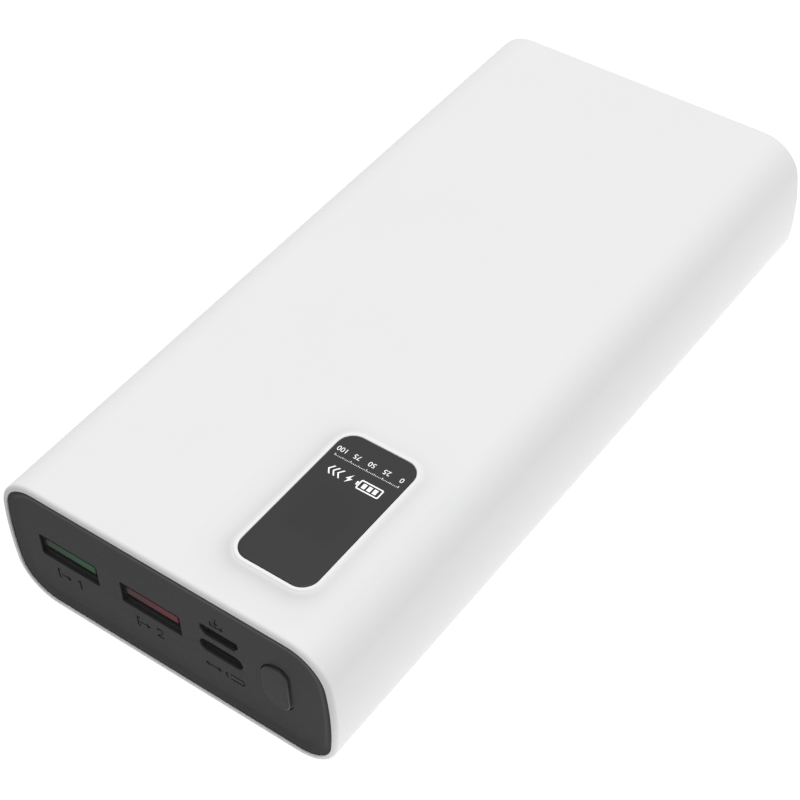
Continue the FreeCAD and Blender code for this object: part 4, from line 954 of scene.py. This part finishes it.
# painted light: a painted highlight on the button's lower right edge and on its foot there, its right and top edge a
# little paler, its left a little darker in painted shade
painted_edge = button.data.attributes.new("painted_edge_light", "FLOAT", "POINT")
for i, v in enumerate(button.data.vertices):
    x, y, z = v.co.x / MM, v.co.y / MM, v.co.z / MM
    w = 0.0
    if y < BY + DOME + ROUND + 0.05:
        ang = math.degrees(math.atan2(z - kz, x - kx))
        on_edge = 0.0 if y < BY + DOME + 0.004 else 1.0
        w = 3.2 * on_edge * bump_at(ang, -90.0, -66.0, -44.0) + 0.7 * on_edge * bump_at(ang, -60.0, 20.0, 130.0) \
            - 0.10 * on_edge * bump_at(ang % 360, 120.0, 200.0, 285.0)
    elif FACE + 0.1 < y < FACE + 0.4:
        w = 1.2 * bump_at(math.degrees(math.atan2(z - bz, x - bx)), -88.0, -64.0, -44.0)
    painted_edge.data[i].value = w

# ------------------------------------------------------------------ display lens
sol = Solid()
rows = [xy(out(0.0), l_lo.z)]
for j in range(0, 6):
    a = math.pi / 2 * j / 5
    rows.append(xy(out(-0.12 * (1 - math.cos(a))), l_hi.z - 0.12 * (1 - math.sin(a))))
sol.loft(rows)
sol.flat(out(-0.12), [], lambda x, y: (x, y, l_hi.z))
sol.flat(out(0.0), [], lambda x, y: (x, y, l_lo.z))
lens = sol.done("window_lens", "housing", ["display_lens"], SMOKED)

# ------------------------------------------------------------------ marks printed on the lens
PRINT_T = 0.012


def printed(name, polys):
    """Thin closed islands of ink lying on the lens. Every outline reads from the back end."""
    sol = Solid()
    z0, z1 = l_hi.z, l_hi.z + PRINT_T
    for p in polys:
        outer, inner = p if isinstance(p, tuple) else (p, [])
        sol.loft([xy(outer, z0), xy(outer, z1)])
        for q in inner:
            sol.loft([xy(q, z0), xy(q, z1)])
        for z in (z0, z1):
            sol.flat(outer, inner, lambda x, y: (x, y, z))
    o = sol.done(name, "housing", (), INK, smooth=False, merge=1e-4)
    return o


def turned(poly, cx, cy, k=1.0):
    """Local mark coordinates (right, up, as read) put on the lens upside down seen from the front."""
    return [(cx - x * k, cy - y * k) for x, y in poly]


def glyphs(text, size, cx, cy, name):
    """Numbers set in the plain built-in face, made into thin closed ink."""
    cu = bpy.data.curves.new(name + "_curve", "FONT")
    cu.body = text
    cu.size = size * MM
    cu.align_x = "CENTER"
    cu.align_y = "CENTER"
    cu.extrude = PRINT_T / 2 * MM
    cu.resolution_u = 6
    tmp = bpy.data.objects.new(name + "_tmp", cu)
    bpy.context.scene.collection.objects.link(tmp)
    bpy.context.view_layer.update()
    me = bpy.data.meshes.new_from_object(tmp.evaluated_get(bpy.context.evaluated_depsgraph_get()))
    bpy.data.objects.remove(tmp)
    bpy.data.curves.remove(cu)
    bm = bmesh.new()
    bm.from_mesh(me)
    bpy.data.meshes.remove(me)
    bmesh.ops.remove_doubles(bm, verts=bm.verts, dist=1e-8)
    bmesh.ops.recalc_face_normals(bm, faces=bm.faces)
    spin = Matrix.Translation(Vector((cx, cy, l_hi.z + PRINT_T / 2)) * MM) @ Matrix.Rotation(math.pi, 4, "Z")
    bm.transform(spin)
    me = bpy.data.meshes.new(name)
    bm.to_mesh(me)
    bm.free()
    me.materials.append(INK)
    o = bpy.data.objects.new(name, me)
    bpy.context.scene.collection.objects.link(o)
    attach(o, "housing")
    return o


y_front = FRONT
big_y = y_front + 31.45
row_a, row_b = y_front + 35.95, y_front + 34.7
# the large mark: a battery outline with three level bars, a bolt and a row of chevrons
polys = []
cxm = 15.9
batt_out = rrect(0, 0, 2.25, 1.05, 0.3, 0, 5)
batt_in = rrect(0, 0, 2.0, 0.8, 0.15, 0, 5)
off = 3.0
polys.append((turned([(x - off, y) for x, y in batt_out], cxm, big_y), [turned([(x - off, y) for x, y in batt_in], cxm, big_y)]))
polys.append(turned(rect(-off + 2.33, -0.4, -off + 2.68, 0.4), cxm, big_y))
for k in (-1, 0, 1):
    polys.append(turned(rect(-off + k * 1.1 - 0.36, -0.52, -off + k * 1.1 + 0.36, 0.52), cxm, big_y))
bolt = [(0.35, 1.08), (-0.62, -0.12), (-0.06, -0.12), (-0.35, -1.08), (0.62, 0.16), (0.06, 0.16)]
polys.append(turned([(x + 1.15, y) for x, y in bolt], cxm, big_y))
for k in range(3):
    x = 2.55 + k * 0.95
    polys.append(turned([(x, 0.95), (x + 0.3, 0.95), (x + 0.98, 0.0), (x + 0.3, -0.95), (x, -0.95), (x + 0.68, 0.0)], cxm, big_y))
# a fine scale under it: ticks with longer ones at the quarters
tick = []
for k in range(41):
    x = -6.4 + 12.8 * k / 40
    hgt = 0.44 if k % 10 == 0 else (0.30 if k % 5 == 0 else 0.18)
    tick.append(turned(rect(x - 0.055, -hgt, x + 0.055, 0.0), 16.0, row_b - 0.45))
ink_marks = printed("window_marks", polys + tick)
for i, txt in enumerate(("0", "25", "50", "75", "100")):
    glyphs(txt, 1.45, 16.0 - (-6.1 + 12.0 * i / 4), row_a, "window_number_%d" % i)

# ------------------------------------------------------------------ coloured tongues of the big sockets
for n, mat, slot in ((1, GREEN, "tongue_green"), (2, RED, "tongue_red")):
    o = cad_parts["usb_a_%d_tongue" % n]
    o.data.materials.clear()
    o.data.materials.append(mat)
    bev = o.modifiers.new("edge", "BEVEL")
    bev.width, bev.segments, bev.limit_method = 0.00018, 3, "ANGLE"

# ------------------------------------------------------------------ CAD nodes that stay: their materials
STAY = {
    "lens_adhesive": TAPE, "cell_tape": TAPE, "inner_tray": TRAY, "pcb_screws": SCREW, "main_pcb": BOARD,
    "display_board": BOARD, "charge_controller_chip": CHIP, "power_mosfets": CHIP, "chip_resistors": CHIP,
    "power_inductor": FERRITE, "ceramic_capacitors": CERAMIC, "polymer_capacitors": CAN,
    "battery_cell_lower": POUCH, "battery_cell_upper": POUCH, "foam_pad_top": FOAM, "foam_pad_rear": FOAM,
    "positive_tab_strip": NICKEL, "negative_tab_strip": NICKEL, "battery_wire_red": WIRE_R,
    "battery_wire_black": WIRE_K, "ntc_thermistor": WIRE_K, "tact_switch_body": CHIP,
    "tact_switch_plunger": SWITCH, "display_header": GOLD, "display_module": DISPLAY, "display_digits": LIGHT,
    "usb_a_1_tongue": GREEN, "usb_a_2_tongue": RED, "usb_c_tongue": BLACK, "micro_usb_tongue": BLACK,
    "usb_a_1_shell": STEEL, "usb_a_2_shell": STEEL, "usb_c_shell": STEEL, "micro_usb_shell": STEEL,
    "usb_a_1_contacts": GOLD, "usb_a_2_contacts": GOLD, "usb_c_contacts": GOLD, "micro_usb_contacts": GOLD,
}
for name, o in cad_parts.items():
    if o.hide_render:
        continue
    if name not in STAY:
        raise RuntimeError("no material for " + name)
    o.data.materials.clear()
    o.data.materials.append(STAY[name])

# ------------------------------------------------------------------ floor, light, camera
SKY_LOW, SKY_TOP, SKY_POWER, SKY_BACK = 0.16, 4.5, 7.0, 1.30
me = bpy.data.meshes.new("studio_floor")
me.from_pydata([(-12, -12, -0.0002), (12, -12, -0.0002), (12, 12, -0.0002), (-12, 12, -0.0002)], [], [(0, 1, 2, 3)])
floor = bpy.data.objects.new("studio_floor", me)
bpy.context.scene.collection.objects.link(floor)
m, t, p = nodes_of("studio_floor_glow")
tc = t.nodes.new("ShaderNodeTexCoord")
nz = add(t, "ShaderNodeTexNoise", Scale=60.0, Detail=2.0)
t.links.new(tc.outputs["Object"], nz.inputs["Vector"])
mx = t.nodes.new("ShaderNodeMix")
mx.data_type = "RGBA"
mx.inputs["A"].default_value = (0.015, 0.015, 0.015, 1)
mx.inputs["B"].default_value = (0.022, 0.022, 0.022, 1)
t.links.new(nz.outputs["Fac"], mx.inputs["Factor"])
t.links.new(mx.outputs["Result"], p.inputs["Base Color"])
p.inputs["Roughness"].default_value = 0.9
p.inputs["Specular IOR Level"].default_value = 0.1
p.inputs["Emission Color"].default_value = (1, 1, 1, 1)
# a near-black sheet that glows, stronger towards the right and the back: its glow keeps the floor white and lights the
# case's lower sides
sep = t.nodes.new("ShaderNodeSeparateXYZ")
t.links.new(tc.outputs["Object"], sep.inputs["Vector"])
glow = None
for axis, a, b, gain in (("X", 0.026, 0.040, 0.95), ("X", 0.040, 0.070, -0.55), ("Y", 0.05, 0.30, 1.0)):
    mr = add(t, "ShaderNodeMapRange")
    mr.interpolation_type = "SMOOTHSTEP"
    mr.inputs["From Min"].default_value, mr.inputs["From Max"].default_value = a, b
    mr.inputs["To Min"].default_value, mr.inputs["To Max"].default_value = 0.0, gain
    t.links.new(sep.outputs[axis], mr.inputs["Value"])
    sm = t.nodes.new("ShaderNodeMath")
    sm.operation = "ADD"
    t.links.new(mr.outputs["Result"], sm.inputs[0])
    sm.inputs[1].default_value = 1.02
    if glow is not None:
        t.links.new(glow.outputs["Value"], sm.inputs[1])
    glow = sm
t.links.new(glow.outputs["Value"], p.inputs["Emission Strength"])
m.cycles.emission_sampling = "NONE"
me.materials.append(m)

# a soft dome: even at the horizon, a broad light overhead and a paler back
world = bpy.data.worlds.new("studio")
bpy.context.scene.world = world
world.use_nodes = True
t = world.node_tree
bg = t.nodes["Background"]
tc = t.nodes.new("ShaderNodeTexCoord")
sep = t.nodes.new("ShaderNodeSeparateXYZ")
t.links.new(tc.outputs["Generated"], sep.inputs["Vector"])


def math_node(op, a, b=0.0):
    n = t.nodes.new("ShaderNodeMath")
    n.operation = op
    for i, v in enumerate((a, b)):
        if isinstance(v, float):
            n.inputs[i].default_value = v
        else:
            t.links.new(v, n.inputs[i])
    return n.outputs["Value"]


up = math_node("MAXIMUM", sep.outputs["Z"], 0.0)
back = math_node("MAXIMUM", sep.outputs["Y"], 0.0)
over = math_node("MULTIPLY", math_node("POWER", up, SKY_POWER), SKY_TOP)
rear = math_node("MULTIPLY", math_node("MULTIPLY", back, math_node("SQRT", up)), SKY_BACK)
t.links.new(math_node("ADD", math_node("ADD", over, rear), SKY_LOW), bg.inputs["Color"])
bg.inputs["Strength"].default_value = 1.0

cam = bpy.data.cameras.new("camera")
cam.sensor_width = 36.0
cam.lens = 90.009
cam.clip_start, cam.clip_end = 0.01, 20.0
co = bpy.data.objects.new("camera", cam)
bpy.context.scene.collection.objects.link(co)
co.matrix_world = Matrix((
    (0.80610117, -0.40713718, 0.42946504, 0.1551676),
    (0.59073372, 0.59670039, -0.54312275, -0.2054888),
    (-0.03513649, 0.69151136, 0.72151054, 0.2718244),
    (0, 0, 0, 1)))
bpy.context.scene.camera = co
bpy.context.scene.view_settings.view_transform = "Standard"
bpy.context.scene.view_settings.look = "None"
